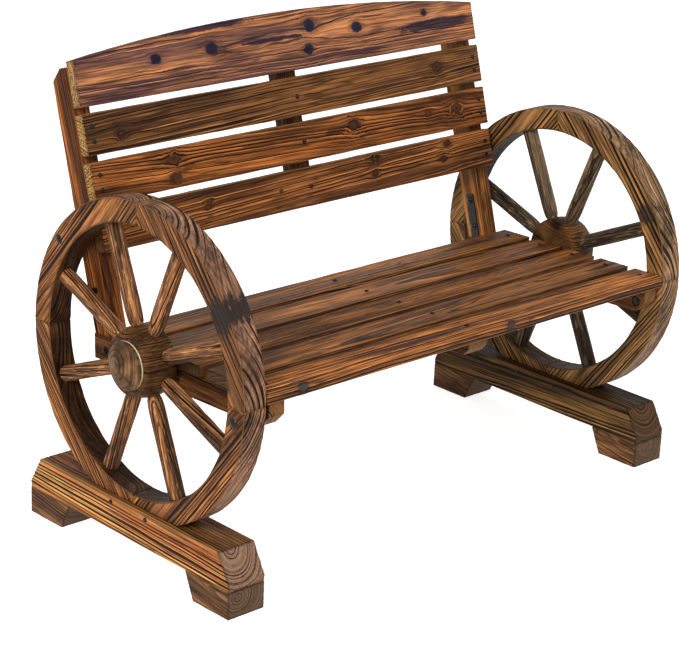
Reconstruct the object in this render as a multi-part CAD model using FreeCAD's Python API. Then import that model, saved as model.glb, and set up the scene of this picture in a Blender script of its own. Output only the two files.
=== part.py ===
import FreeCAD
import Part
import math
import os

# Wagon wheel bench, in millimetres: X to the right, Y to the back, Z up, floor at zero
Vector = FreeCAD.Vector
ACROSS = Vector(1, 0, 0)
BACK = Vector(0, 1, 0)
UP = Vector(0, 0, 1)
SIDES = {"left": -1, "right": 1}

# Wheels, on edge at both ends of the seat
wheel_radius = 267.3
wheel_y = -12.54
wheel_z = 350.3
rim_depth = 40.3
rim_width = 44.7
felloes_per_wheel = 4
spokes_per_wheel = 8
wheel_turn = {"left": 0.0, "right": 2.0}
rim_ease = 2.0
dowel_radius = 6.0
dowel_depth = 15.0

# Spokes, turned round with a neck at the hub
spoke_radius = 13.5
neck_radius = 10.2
neck_length = 33.0
neck_depth = 18.0
tenon_radius = 9.0
tenon_length = 28.0

# Hubs, with a domed cap on the outside
hub_length = 59.0
hub_inner_radius = 55.0
hub_belly_radius = 59.0
hub_outer_radius = 51.0
hub_chamfer = 3.0
cap_radius = 40.5
cap_edge = 6.0
cap_dome = 13.0
peg_radius = 12.0
peg_length = 24.0

# Base, a grooved beam on two feet under each wheel
beam_outer_x = 526.0
beam_width = 74.5
beam_height = 60.3
beam_length = 521.4
beam_y = wheel_y + 6.6
beam_end = 12.0
beam_bevel = 27.8
outer_cheek = 10.3
foot_height = 47.1
foot_top_length = 108.8
foot_bottom_length = 87.4

# Seat, slats on rails, falling a little to the back
seat_tilt = 1.72
seat_rear_y = wheel_y + 121.0
seat_rear_z = 360.4
seat_half_width = 470.0
seat_slats = 5
seat_slat_width = 65.0
seat_gap = 15.4
slat_thickness = 20.0
frame_outer_x = 460.7
frame_thickness = 33.0
rail_height = 44.0
rail_front = 381.0
rail_rear = 57.0
rail_bevel = 20.0
centre_rail_width = 44.0
centre_rail_thickness = 24.0

# Back, slats and an arched top rail on leaning posts
back_lean = 16.24
back_y = wheel_y + 149.8
back_z = 483.7
back_slats = 3
back_slat_width = 68.7
back_gap = 10.7
arch_left = 77.0
arch_middle = 104.5
arch_right = 69.0
post_depth = 44.5
post_top = 306.0
post_bevel_depth = 24.0
post_bevel_height = 20.0
stile_width = 44.0
stile_thickness = 24.0
stile_top = 318.0

# Steel plates that tie each post to its side rail
plate_width = 18.0
plate_thickness = 3.0
plate_pitch = 50.0
plate_overhang = 12.0
plate_set_back = slat_thickness + post_depth / 2
plate_top_bolt = -61.3

# Fasteners
fit = 0.15
board_ease = 1.5
screw_radius = 2.0
screw_head_radius = 3.9
screw_head_height = 2.4
rim_bolt_radius = 4.0
rim_bolt_head_radius = 8.0
rim_bolt_head_height = 4.0
plate_bolt_radius = 3.0
plate_bolt_head_radius = 7.0
plate_bolt_head_height = 5.0
spacer_radius = 9.0
nut_recess_radius = 9.5
nut_recess_depth = 8.0
foot_recess_radius = 7.0
foot_recess_depth = 12.0
back_screw_spread = 12.5
wheel_screw_y = 45.0
wheel_screw_z = 97.0
foot_screw_spread = 22.0
post_rim_bolt = Vector(0, wheel_y + 200.0, 505.0)
rail_rim_bolt = Vector(0, wheel_y - 242.7, 326.7)

# Sizes that follow from those above
rim_outer_x = beam_outer_x - outer_cheek
rim_inner_x = rim_outer_x - rim_width
rim_middle_x = rim_outer_x - rim_width / 2
rim_inner_radius = wheel_radius - rim_depth
felloe_angle = 360 / felloes_per_wheel
spoke_angle = 360 / spokes_per_wheel
spoke_start = hub_belly_radius - neck_depth
spoke_shoulder = math.sqrt(rim_inner_radius**2 - spoke_radius**2) - fit
spoke_end = rim_inner_radius + tenon_length
beam_inner_x = beam_outer_x - beam_width
beam_middle_x = beam_outer_x - beam_width / 2
beam_top = foot_height + beam_height
frame_inner_x = frame_outer_x - frame_thickness
frame_middle_x = frame_outer_x - frame_thickness / 2
back_pitch = back_slat_width + back_gap
top_rail_base = back_slats * back_pitch
post_rear = slat_thickness + post_depth
stile_rear = slat_thickness + stile_thickness
seat_frame = FreeCAD.Placement(Vector(0, seat_rear_y, seat_rear_z), FreeCAD.Rotation(ACROSS, -seat_tilt))
back_frame = FreeCAD.Placement(Vector(0, back_y, back_z), FreeCAD.Rotation(ACROSS, -back_lean))


class Fastener:
    """Round fastener: the point that its head sits on, the way it points, its length and radius."""

    def __init__(self, seat, axis, length, radius):
        self.seat = seat
        self.axis = axis
        self.length = length
        self.radius = radius

    def shank(self):
        return Part.makeCylinder(self.radius, self.length, self.seat, self.axis)

    def hole(self):
        return Part.makeCylinder(self.radius + fit, self.length, self.seat, self.axis)

    def screw(self):
        head = Part.makeCone(
            screw_head_radius, screw_head_radius / 2, screw_head_height, self.seat, -self.axis
        )
        return head.fuse(self.shank())

    def bolt(self, head_radius, head_height):
        head = dome(0, head_radius, head_height)
        head = placed(head, FreeCAD.Placement(self.seat, FreeCAD.Rotation(ACROSS, -self.axis)))
        return head.fuse(self.shank())


# Shapes that recur
def box(low, high):
    """Box between two opposite corners."""
    size = high - low
    return Part.makeBox(size.x, size.y, size.z, low)


def placed(solid, frame):
    """The solid carried from a local frame into the bench's frame."""
    return solid.transformed(frame.toMatrix())


def eased(solid, edges=None, amount=board_ease):
    """The solid with its sharp edges taken off."""
    return solid.makeChamfer(amount, edges or solid.Edges)


def side_cut(outline, x_from, x_to):
    """Board sawn to a side outline of (y, z) points, between two places across the bench."""
    points = [Vector(x_from, y, z) for y, z in outline]
    face = Part.Face(Part.makePolygon(points + points[:1]))
    return face.extrude(Vector(x_to - x_from, 0, 0))


def turned(edges):
    """Solid turned about the X axis from a closed outline in the XY plane."""
    wire = Part.Wire([edge.toShape() for edge in edges])
    return Part.Face(wire).revolve(Vector(), ACROSS, 360)


def lines(*points):
    """Straight runs through (distance, radius) points."""
    corners = [Vector(x, y, 0) for x, y in points]
    return [Part.LineSegment(a, b) for a, b in zip(corners, corners[1:])]


def dome_arc(start, radius, height):
    """Round crown that falls from its top on the axis to a radius at the start."""
    ball = (radius**2 + height**2) / (2 * height)
    half = math.asin(radius / ball) / 2
    top = start + height
    middle = Vector(top - ball * (1 - math.cos(half)), ball * math.sin(half), 0)
    return Part.Arc(Vector(start, radius, 0), middle, Vector(top, 0, 0))


def dome(start, radius, height):
    """Crown with a flat back."""
    back = lines((start + height, 0), (start, 0), (start, radius))
    return turned(back + [dome_arc(start, radius, height)])


def nut(seat, axis, across, height, hole_radius):
    """Six-sided nut that stands on a face."""
    corner = across / math.sqrt(3)
    turns = [math.radians(60 * step) for step in range(7)]
    points = [Vector(0, corner * math.cos(turn), corner * math.sin(turn)) for turn in turns]
    body = Part.Face(Part.makePolygon(points)).extrude(ACROSS * height)
    body = body.cut(Part.makeCylinder(hole_radius, height, Vector(), ACROSS))
    return placed(body, FreeCAD.Placement(seat, FreeCAD.Rotation(ACROSS, axis)))


def drilled(solid, holes):
    """The solid with every hole that reaches it."""
    near = [hole for hole in holes if hole.BoundBox.intersect(solid.BoundBox)]
    return solid.cut(near).Solids[0] if near else solid


def holes_for(fasteners):
    return [fastener.hole() for fastener in fasteners]


# Places on a wheel: angle 0 at the front, 90 at the top
def outward(angle):
    turn = math.radians(angle)
    return Vector(0, -math.cos(turn), math.sin(turn))


def along_rim(angle):
    return outward(angle + 90)


def on_wheel(x, radius, angle):
    return Vector(x, wheel_y, wheel_z) + outward(angle) * radius


# Fasteners of the whole bench
def back_screws():
    """Two screws at each end of a back slat and one in the middle."""
    into = back_frame.Rotation.multVec(BACK)
    screws = []
    for slat in range(back_slats):
        centre = slat * back_pitch + back_slat_width / 2
        spots = [(0, centre)]
        for x in (-frame_middle_x, frame_middle_x):
            spots.append((x, centre - back_screw_spread))
            spots.append((x, centre + back_screw_spread))
        for x, height in spots:
            seat = back_frame.multVec(Vector(x, 0, height))
            screws.append(Fastener(seat, into, slat_thickness + 18, screw_radius))
    return screws


def top_rail_screws():
    """Screws from behind, through the posts and the stile into the top rail."""
    forward = back_frame.Rotation.multVec(-BACK)
    screws = []
    for x, rear in ((-frame_middle_x, post_rear), (0, stile_rear), (frame_middle_x, post_rear)):
        for rise in (15, 40):
            seat = back_frame.multVec(Vector(x, rear, top_rail_base + rise))
            screws.append(Fastener(seat, forward, rear - slat_thickness + 14, screw_radius))
    return screws


def seat_screws():
    """One screw from each slat into each rail."""
    down = seat_frame.Rotation.multVec(-UP)
    screws = []
    for slat in range(seat_slats):
        y = -slat * (seat_slat_width + seat_gap) - seat_slat_width / 2
        for x in (-frame_middle_x, 0, frame_middle_x):
            seat = seat_frame.multVec(Vector(x, y, 0))
            screws.append(Fastener(seat, down, slat_thickness + 18, screw_radius))
    return screws


def wheel_screws():
    """Screws through both cheeks of each groove into the rim."""
    screws = []
    for side in SIDES.values():
        for y in (wheel_y - wheel_screw_y, wheel_y + wheel_screw_y):
            outer = Vector(side * beam_outer_x, y, wheel_screw_z)
            inner = Vector(side * beam_inner_x, y, wheel_screw_z)
            screws.append(Fastener(outer, ACROSS * -side, outer_cheek + 15, screw_radius))
            screws.append(Fastener(inner, ACROSS * side, rim_inner_x - beam_inner_x + 15, screw_radius))
    return screws


def foot_middle(end):
    """Middle of a foot's top: end is -1 at the front and 1 at the rear."""
    return beam_y + end * (beam_length - foot_top_length) / 2


def foot_screws():
    """Two screws from a recess under each foot up into the beam."""
    screws = []
    for side in SIDES.values():
        for end in (-1, 1):
            for spread in (0, foot_screw_spread):
                y = foot_middle(end) + end * spread
                seat = Vector(side * beam_middle_x, y, foot_recess_depth)
                screws.append(Fastener(seat, UP, foot_height + 25 - foot_recess_depth, screw_radius))
    return screws


def rim_bolts(spot, nut_x):
    """Bolts from both rims through a wood member to nuts on its inner side."""
    bolts = []
    for side in SIDES.values():
        seat = Vector(side * rim_outer_x, spot.y, spot.z)
        bolts.append(Fastener(seat, ACROSS * -side, rim_outer_x - nut_x + 8, rim_bolt_radius))
    return bolts


def plate_bolts():
    """Two bolts through each post and one through each side rail."""
    bolts = []
    for side in SIDES.values():
        x = side * (frame_inner_x - plate_thickness)
        length = plate_thickness + frame_thickness + 7
        for step in range(3):
            seat = back_frame.multVec(Vector(x, plate_set_back, plate_top_bolt - step * plate_pitch))
            bolts.append(Fastener(seat, ACROSS * side, length, plate_bolt_radius))
    return bolts


def dowels(turn):
    """Dowels across the seams of both rims."""
    pegs = []
    for name, side in SIDES.items():
        for seam in range(felloes_per_wheel):
            angle = turn[name] + seam * felloe_angle
            middle = on_wheel(side * rim_middle_x, wheel_radius - rim_depth / 2, angle)
            start = middle - along_rim(angle) * dowel_depth
            pegs.append(Fastener(start, along_rim(angle), 2 * dowel_depth, dowel_radius))
    return pegs


# Wheel pieces
def felloe(side, start, holes):
    """One curved block of the rim, with sockets for its spokes."""
    x = side * rim_inner_x
    middle = start + felloe_angle / 2
    end = start + felloe_angle
    outline = [
        Part.Arc(*[on_wheel(x, wheel_radius, angle) for angle in (start, middle, end)]),
        Part.LineSegment(on_wheel(x, wheel_radius, end), on_wheel(x, rim_inner_radius, end)),
        Part.Arc(*[on_wheel(x, rim_inner_radius, angle) for angle in (end, middle, start)]),
        Part.LineSegment(on_wheel(x, rim_inner_radius, start), on_wheel(x, wheel_radius, start)),
    ]
    wire = Part.Wire([edge.toShape() for edge in outline])
    block = Part.Face(wire).extrude(ACROSS * side * rim_width)
    arcs = [edge for edge in block.Edges if isinstance(edge.Curve, Part.Circle)]
    block = eased(block, arcs, rim_ease)
    sockets = []
    for spoke in range(spokes_per_wheel // felloes_per_wheel):
        angle = start + (spoke + 0.5) * spoke_angle
        mouth = on_wheel(side * rim_middle_x, spoke_shoulder, angle)
        depth = spoke_end - spoke_shoulder
        sockets.append(Part.makeCylinder(tenon_radius + fit, depth, mouth, outward(angle)))
    return drilled(block, sockets + holes)


def spoke(side, angle):
    """Turned spoke: neck in the hub, taper, body, and a tenon in the rim."""
    taper_end = hub_belly_radius + neck_length
    outline = lines(
        (spoke_start, 0),
        (spoke_start, neck_radius),
        (hub_belly_radius, neck_radius),
        (taper_end, spoke_radius),
        (spoke_shoulder, spoke_radius),
        (spoke_shoulder, tenon_radius),
        (spoke_end, tenon_radius),
        (spoke_end, 0),
        (spoke_start, 0),
    )
    centre = Vector(side * rim_middle_x, wheel_y, wheel_z)
    return placed(turned(outline), FreeCAD.Placement(centre, FreeCAD.Rotation(ACROSS, outward(angle))))


def wheel_axis(side, x):
    """Frame on the wheel's axis that looks away from the bench."""
    return FreeCAD.Placement(Vector(side * x, wheel_y, wheel_z), FreeCAD.Rotation(ACROSS, ACROSS * side))


def hub(side, turn):
    """Barrel with a flat inner end, a socket for each spoke and one for the cap's peg."""
    edge = lines(
        (hub_length, 0),
        (0, 0),
        (0, hub_inner_radius - hub_chamfer),
        (hub_chamfer, hub_inner_radius),
    )
    belly = Part.Arc(
        Vector(hub_chamfer, hub_inner_radius, 0),
        Vector(rim_width / 2, hub_belly_radius, 0),
        Vector(hub_length, hub_outer_radius, 0),
    )
    end = lines((hub_length, hub_outer_radius), (hub_length, 0))
    barrel = placed(turned(edge + [belly] + end), wheel_axis(side, rim_inner_x))
    mouth = Vector(side * (rim_inner_x + hub_length), wheel_y, wheel_z)
    holes = [Part.makeCylinder(peg_radius + fit, peg_length, mouth, ACROSS * -side)]
    for step in range(spokes_per_wheel):
        angle = turn + (step + 0.5) * spoke_angle
        floor = on_wheel(side * rim_middle_x, spoke_start, angle)
        holes.append(Part.makeCylinder(neck_radius + fit, 2 * neck_depth, floor, outward(angle)))
    return drilled(barrel, holes)


def hub_cap(side):
    """Domed cap with a peg behind it."""
    outline = lines(
        (cap_edge + cap_dome, 0),
        (-peg_length, 0),
        (-peg_length, peg_radius),
        (0, peg_radius),
        (0, cap_radius),
        (cap_edge, cap_radius),
    )
    crown = dome_arc(cap_edge, cap_radius, cap_dome)
    return placed(turned(outline + [crown]), wheel_axis(side, rim_inner_x + hub_length))


# Base pieces
def base_beam(side, holes):
    """Beam with bevelled ends and a curved groove that the rim stands in."""
    half = beam_length / 2
    outline = [
        (beam_y - half, foot_height),
        (beam_y - half, foot_height + beam_end),
        (beam_y - half + beam_bevel, beam_top),
        (beam_y + half - beam_bevel, beam_top),
        (beam_y + half, foot_height + beam_end),
        (beam_y + half, foot_height),
    ]
    beam = eased(side_cut(outline, side * beam_inner_x, side * beam_outer_x))
    start = Vector(side * rim_inner_x, wheel_y, wheel_z)
    groove = Part.makeCylinder(wheel_radius + 2 * fit, rim_width, start, ACROSS * side)
    return drilled(beam, [groove] + holes)


def foot(side, end, holes):
    """Block with a square outer end and a slanted inner end."""
    outer = beam_y + end * beam_length / 2
    outline = [
        (outer, 0),
        (outer, foot_height),
        (outer - end * foot_top_length, foot_height),
        (outer - end * foot_bottom_length, 0),
    ]
    return drilled(eased(side_cut(outline, side * beam_inner_x, side * beam_outer_x)), holes)


# Seat pieces
def seat_slat(index, holes):
    rear = -index * (seat_slat_width + seat_gap)
    low = Vector(-seat_half_width, rear - seat_slat_width, -slat_thickness)
    high = Vector(seat_half_width, rear, 0)
    return drilled(placed(eased(box(low, high)), seat_frame), holes)


def side_rail(side, holes):
    """Rail under the slat ends, long enough at the rear to carry the post."""
    top = -slat_thickness
    bottom = top - rail_height
    outline = [
        (rail_rear, top),
        (rail_rear, bottom),
        (-rail_front + rail_bevel, bottom),
        (-rail_front, bottom + rail_bevel),
        (-rail_front, top),
    ]
    rail = eased(side_cut(outline, side * frame_inner_x, side * frame_outer_x))
    return drilled(placed(rail, seat_frame), holes)


def centre_rail(holes):
    """Flat rail under the middle of the slats, its front end bevelled below."""
    top = -slat_thickness
    bottom = top - centre_rail_thickness
    outline = [
        (0, top),
        (0, bottom),
        (-rail_front + centre_rail_thickness / 2, bottom),
        (-rail_front, bottom + centre_rail_thickness / 2),
        (-rail_front, top),
    ]
    rail = eased(side_cut(outline, -centre_rail_width / 2, centre_rail_width / 2))
    return drilled(placed(rail, seat_frame), holes)


# Back pieces
def back_slat(index, holes):
    base = index * back_pitch
    low = Vector(-frame_outer_x, 0, base)
    high = Vector(frame_outer_x, slat_thickness, base + back_slat_width)
    return drilled(placed(eased(box(low, high)), back_frame), holes)


def top_rail(holes):
    """Board with a straight lower edge and an arched upper edge."""
    left_foot = Vector(-frame_outer_x, 0, top_rail_base)
    right_foot = Vector(frame_outer_x, 0, top_rail_base)
    left_top = left_foot + UP * arch_left
    right_top = right_foot + UP * arch_right
    crown = Vector(0, 0, top_rail_base + arch_middle)
    outline = [
        Part.LineSegment(right_top, right_foot),
        Part.LineSegment(right_foot, left_foot),
        Part.LineSegment(left_foot, left_top),
        Part.Arc(left_top, crown, right_top),
    ]
    wire = Part.Wire([edge.toShape() for edge in outline])
    board = Part.Face(wire).extrude(BACK * slat_thickness)
    return drilled(placed(eased(board), back_frame), holes)


def back_post(side, holes):
    """Leaning post behind the slats, cut at the foot to stand on the side rail."""
    outline = [
        (slat_thickness, -200),
        (slat_thickness, post_top),
        (post_rear - post_bevel_depth, post_top),
        (post_rear, post_top - post_bevel_height),
        (post_rear, -200),
    ]
    post = placed(side_cut(outline, side * frame_inner_x, side * frame_outer_x), back_frame)
    low = Vector(-beam_outer_x, -rail_front, -rail_front)
    high = Vector(beam_outer_x, rail_front, -slat_thickness)
    post = post.cut(placed(box(low, high), seat_frame)).Solids[0]
    return drilled(eased(post), holes)


def middle_stile(holes):
    low = Vector(-stile_width / 2, slat_thickness, 0)
    high = Vector(stile_width / 2, stile_rear, stile_top)
    return drilled(placed(eased(box(low, high)), back_frame), holes)


def plate(side, holes):
    """Flat bar on the inner face of a post, rounded at the corners."""
    top = plate_top_bolt + plate_overhang
    bottom = plate_top_bolt - 2 * plate_pitch - plate_overhang
    inner = side * (frame_inner_x - plate_thickness)
    outline = [
        (plate_set_back - plate_width / 2, bottom),
        (plate_set_back - plate_width / 2, top),
        (plate_set_back + plate_width / 2, top),
        (plate_set_back + plate_width / 2, bottom),
    ]
    bar = side_cut(outline, inner, side * frame_inner_x)
    corners = [edge for edge in bar.Edges if abs(edge.Length - plate_thickness) < fit]
    return drilled(placed(bar.makeFillet(plate_width / 4, corners), back_frame), holes)


# Small pieces in groups
def rim_spacers(bolts):
    """Tubes that fill the gap between each rim and the wood frame."""
    tubes = []
    for bolt in bolts:
        side = math.copysign(1, bolt.seat.x)
        start = Vector(side * frame_outer_x, bolt.seat.y, bolt.seat.z)
        tube = Part.makeCylinder(spacer_radius, rim_inner_x - frame_outer_x, start, ACROSS * side)
        tubes.append(tube.cut(bolt.hole()))
    return tubes


def rim_nuts(bolts, face_x):
    nuts = []
    for bolt in bolts:
        seat = Vector(math.copysign(face_x, bolt.seat.x), bolt.seat.y, bolt.seat.z)
        nuts.append(nut(seat, bolt.axis, 13, 6.5, rim_bolt_radius + fit))
    return nuts


def plate_nuts(bolts):
    nuts = []
    for bolt in bolts:
        seat = bolt.seat + bolt.axis * (plate_thickness + frame_thickness)
        nuts.append(nut(seat, bolt.axis, 10, 5, plate_bolt_radius + fit))
    return nuts


# Fasteners first, since every wood piece is drilled for its own
rail_nut_x = frame_inner_x + nut_recess_depth
post_bolts = rim_bolts(post_rim_bolt, frame_inner_x)
rail_bolts = rim_bolts(rail_rim_bolt, rail_nut_x)
wheel_bolts = post_bolts + rail_bolts
tie_bolts = plate_bolts()
pegs = dowels(wheel_turn)
slat_screws = back_screws() + top_rail_screws()
top_screws = seat_screws()
cheek_screws = wheel_screws()
under_screws = foot_screws()
back_holes = holes_for(slat_screws + tie_bolts + post_bolts)
seat_holes = holes_for(top_screws + tie_bolts + rail_bolts)
rim_holes = holes_for(pegs + wheel_bolts + cheek_screws)
base_holes = holes_for(cheek_screws + under_screws)
foot_recesses = []
for screw in under_screws:
    mouth = Vector(screw.seat.x, screw.seat.y, 0)
    foot_recesses.append(Part.makeCylinder(foot_recess_radius, foot_recess_depth, mouth))
nut_recesses = []
for bolt in rail_bolts:
    mouth = Vector(math.copysign(frame_inner_x, bolt.seat.x), bolt.seat.y, bolt.seat.z)
    nut_recesses.append(Part.makeCylinder(nut_recess_radius, nut_recess_depth, mouth, -bolt.axis))

# All pieces of the bench by name
pieces = {}
for name, side in SIDES.items():
    turn = wheel_turn[name]
    for index in range(felloes_per_wheel):
        pieces[f"{name}_felloe_{index + 1}"] = felloe(side, turn + index * felloe_angle, rim_holes)
    for index in range(spokes_per_wheel):
        pieces[f"{name}_spoke_{index + 1}"] = spoke(side, turn + (index + 0.5) * spoke_angle)
    pieces[f"{name}_hub"] = hub(side, turn)
    pieces[f"{name}_hub_cap"] = hub_cap(side)
    pieces[f"{name}_base_beam"] = base_beam(side, base_holes)
    pieces[f"{name}_front_foot"] = foot(side, -1, base_holes + foot_recesses)
    pieces[f"{name}_rear_foot"] = foot(side, 1, base_holes + foot_recesses)
    pieces[f"{name}_side_rail"] = side_rail(side, seat_holes + nut_recesses)
    pieces[f"{name}_back_post"] = back_post(side, back_holes)
    pieces[f"{name}_plate"] = plate(side, holes_for(tie_bolts))
for index in range(seat_slats):
    pieces[f"seat_slat_{index + 1}"] = seat_slat(index, seat_holes)
for index in range(back_slats):
    pieces[f"back_slat_{index + 1}"] = back_slat(index, back_holes)
pieces["centre_rail"] = centre_rail(seat_holes)
pieces["top_rail"] = top_rail(back_holes)
pieces["middle_stile"] = middle_stile(back_holes)
groups = {
    "rim_bolts": [bolt.bolt(rim_bolt_head_radius, rim_bolt_head_height) for bolt in wheel_bolts],
    "plate_bolts": [bolt.bolt(plate_bolt_head_radius, plate_bolt_head_height) for bolt in tie_bolts],
    "nuts": rim_nuts(post_bolts, frame_inner_x) + rim_nuts(rail_bolts, rail_nut_x) + plate_nuts(tie_bolts),
    "rim_spacers": rim_spacers(wheel_bolts),
    "back_screws": [screw.screw() for screw in slat_screws],
    "seat_screws": [screw.screw() for screw in top_screws],
    "base_screws": [screw.screw() for screw in cheek_screws + under_screws],
    "felloe_dowels": [peg.shank() for peg in pegs],
}
for name, solids in groups.items():
    pieces[name] = Part.makeCompound(solids)

# One file for each piece or group
os.makedirs("parts", exist_ok=True)
for name, shape in pieces.items():
    shape.exportStep(f"parts/{name}.step")
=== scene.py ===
import itertools
import math

import bmesh
import bpy
import numpy as np
from mathutils import Matrix, Vector


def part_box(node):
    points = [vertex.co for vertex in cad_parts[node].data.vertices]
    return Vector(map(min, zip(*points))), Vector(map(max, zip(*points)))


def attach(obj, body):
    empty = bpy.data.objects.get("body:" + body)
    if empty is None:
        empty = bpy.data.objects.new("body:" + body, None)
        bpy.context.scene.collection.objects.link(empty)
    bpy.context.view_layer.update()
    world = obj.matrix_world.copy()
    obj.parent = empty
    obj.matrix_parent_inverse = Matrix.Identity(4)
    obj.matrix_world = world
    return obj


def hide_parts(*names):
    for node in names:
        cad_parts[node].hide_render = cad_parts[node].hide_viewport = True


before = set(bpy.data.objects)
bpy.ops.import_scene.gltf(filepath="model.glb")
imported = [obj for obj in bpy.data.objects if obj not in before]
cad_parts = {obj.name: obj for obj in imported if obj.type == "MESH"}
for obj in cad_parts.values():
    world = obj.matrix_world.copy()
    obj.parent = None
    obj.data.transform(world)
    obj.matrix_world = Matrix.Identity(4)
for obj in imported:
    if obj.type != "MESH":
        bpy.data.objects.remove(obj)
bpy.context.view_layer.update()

# Wagon wheel bench in metres: X to the right, Y to the back, Z up, floor at zero
MM = 0.001
ACROSS = Vector((1, 0, 0))
BACK = Vector((0, 1, 0))
UP = Vector((0, 0, 1))
SIDES = {"left": -1, "right": 1}
scene = bpy.context.scene

# Camera that took the photograph, and the width of its picture
picture_width = 679
camera_place = Vector((-2.6204, -2.6788, 1.6496))
camera_azimuth = math.radians(-43.735)
camera_elevation = math.radians(19.809)
camera_roll = math.radians(2.44)
focal_pixels = 2282.6
sensor_width = 36

# Studio: size and glow of the floor, light from all round, and where the lamps look
floor_size = 40
floor_glow = 0.8
ambient = 0.45
bench_middle = Vector((0, 0, 0.4))

# Numbers of pieces that repeat
felloe_count = 4
spoke_count = 8
seat_slat_count = 5
back_slat_count = 3

# How the pieces lean and turn
seat_tilt = math.radians(1.72)
back_lean = math.radians(16.24)
wheel_turn = {"left": 0.0, "right": math.radians(2.0)}
seat_rearward = Vector((0, math.cos(seat_tilt), -math.sin(seat_tilt)))
back_rearward = Vector((0, math.cos(back_lean), -math.sin(back_lean)))
back_slope = Vector((0, math.sin(back_lean), math.cos(back_lean)))

# Saw cuts at the ends of the boards: length, height, and 1 where the cut is on the underside
beam_bevel = (27.8 * MM, 48.3 * MM, 0.0)
rail_bevel = (20 * MM, 20 * MM, 1.0)
centre_rail_bevel = (12 * MM, 12 * MM, 1.0)
foot_slant = (21.4 * MM, 47.1 * MM, 1.0)
post_foot = (11.5 * MM, 44.5 * MM, 0.0)
post_bevel = (20 * MM, 24 * MM, 0.0)
square = (0.0, 1.0, 0.0)

# Height of the top rail at its left end, middle and right end
top_rail_arch = (77 * MM, 104.5 * MM, 69 * MM)

# Rounding of edges, play in the groove, a distance at which no edge shows, and the angle of a sharp edge
board_edge = 1.6 * MM
rim_edge = 1.7 * MM
fit = 0.3 * MM
far_off = 30 * MM
sharp_angle = math.radians(50)

# Mesh steps along the grain, across it and through the wood
board_steps = (4.5 * MM, 1.25 * MM, 1.4 * MM)
felloe_steps = (4.5 * MM, 1.1 * MM, 1.2 * MM)

# Mesh steps around the round cuts, and the distance within which points of a turned piece are one
groove_steps = 360
socket_steps = 40
nut_recess_steps = 40
foot_recess_steps = 32
weld_distance = 0.002 * MM

# Turned pieces, and the round recesses for nuts and screws
spoke_radius = 13.5 * MM
neck_radius = 10.2 * MM
neck_length = 33 * MM
neck_depth = 18 * MM
tenon_radius = 9 * MM
tenon_length = 28 * MM
hub_belly_radius = 59 * MM
hub_inner_radius = 55 * MM
hub_outer_radius = 51 * MM
hub_chamfer = 3 * MM
hub_lip = 1 * MM
hub_core = 2 * MM
socket_play = 0.5 * MM
socket_depth = neck_depth + 1 * MM
cap_core = 4 * MM
cap_radius = 40.5 * MM
cap_edge = 6 * MM
cap_bevel = 1 * MM
cap_worn_and_highlight_points = (7, 8, 9)
nut_recess_radius = 9.5 * MM
nut_recess_depth = 8 * MM
foot_recess_radius = 7 * MM
foot_recess_depth = 12 * MM

# Knots of the back: place across the bench, place up the slope, and radius, in millimetres
back_knots = {
    "back_slat_1": (
        (-232.3, 46.9, 5),
        (-234.3, 36.9, 4),
        (159.9, 57.7, 7),
        (156.2, 30.8, 6),
        (344.6, 57.0, 6),
        (330.2, 30.9, 6),
        (-69.2, 37.0, 3),
    ),
    "back_slat_2": (
        (-289.1, 128.3, 9),
        (-290.7, 97.7, 8),
        (122.3, 124.1, 9),
        (383.9, 117.8, 11),
        (309.1, 119.1, 5),
    ),
    "back_slat_3": (
        (-388.1, 186.1, 7),
        (347.3, 199.5, 8),
    ),
    "top_rail": (
        (-293.7, 296.5, 7),
        (-172.5, 298.4, 8),
        (52.7, 312.0, 8),
        (43.7, 270.8, 7),
        (163.6, 294.8, 8),
        (334.3, 300.9, 5),
    ),
}

# Depth of the pith behind the front of the back boards
back_pith_depth = 45 * MM

# Knots at the front edge of the seat, across the bench
front_slat = f"seat_slat_{seat_slat_count}"
front_knots = (-394 * MM, 75 * MM)
front_knot_radius = 5 * MM

# Screws: a round head with a cross recess
head_radius = 3.9 * MM
head_height = 2.4 * MM
head_rim = 0.6 * MM
shank_radius = head_radius * 0.6
shank_length = 1 * MM
recess_depth = 2.6 * MM
recess_length = head_radius * 1.1
recess_width = head_radius * 0.26
recess_lift = 0.1 * MM
back_screw_spread = 12.5 * MM
top_rail_screw_rises = (15 * MM, 40 * MM)
wheel_screw_spread = 45 * MM
wheel_screw_height = 97 * MM
foot_screw_spread = 22 * MM

# Stains, and colours of worn places and painted highlights, as red, green and blue from 0 to 255
char = (24, 14, 8)
ink = (44, 37, 35)
slate = (70, 68, 70)
navy = (22, 16, 42)
cream = (240, 222, 190)
honey = (196, 140, 80)
tan = (214, 164, 96)

# How far flame marks reach: through a rim, through the back, and back and down from the seat's edge
rim_mark_reach = 80 * MM
back_mark_reach = 60 * MM
seat_mark_reach = (7 * MM, 6 * MM)

# Shine of the finishes, and the height of the grain's finest ridges
wood_sheen = 0.06
waxed_sheen = 0.1
steel_sheen = 0.2
ridge_height = 0.7 * MM


# Node trees, written as arithmetic
class Wire:
    """An output of a node, which plain arithmetic carries on."""

    def __init__(self, tree, socket):
        self.tree = tree
        self.socket = socket

    def __add__(self, other):
        return self.tree.calc("ADD", self, other)

    def __radd__(self, other):
        return self.tree.calc("ADD", other, self)

    def __sub__(self, other):
        return self.tree.calc("SUBTRACT", self, other)

    def __rsub__(self, other):
        return self.tree.calc("SUBTRACT", other, self)

    def __mul__(self, other):
        return self.tree.calc("MULTIPLY", self, other)

    def __truediv__(self, other):
        return self.tree.calc("DIVIDE", self, other)

    def __rtruediv__(self, other):
        return self.tree.calc("DIVIDE", other, self)


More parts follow.
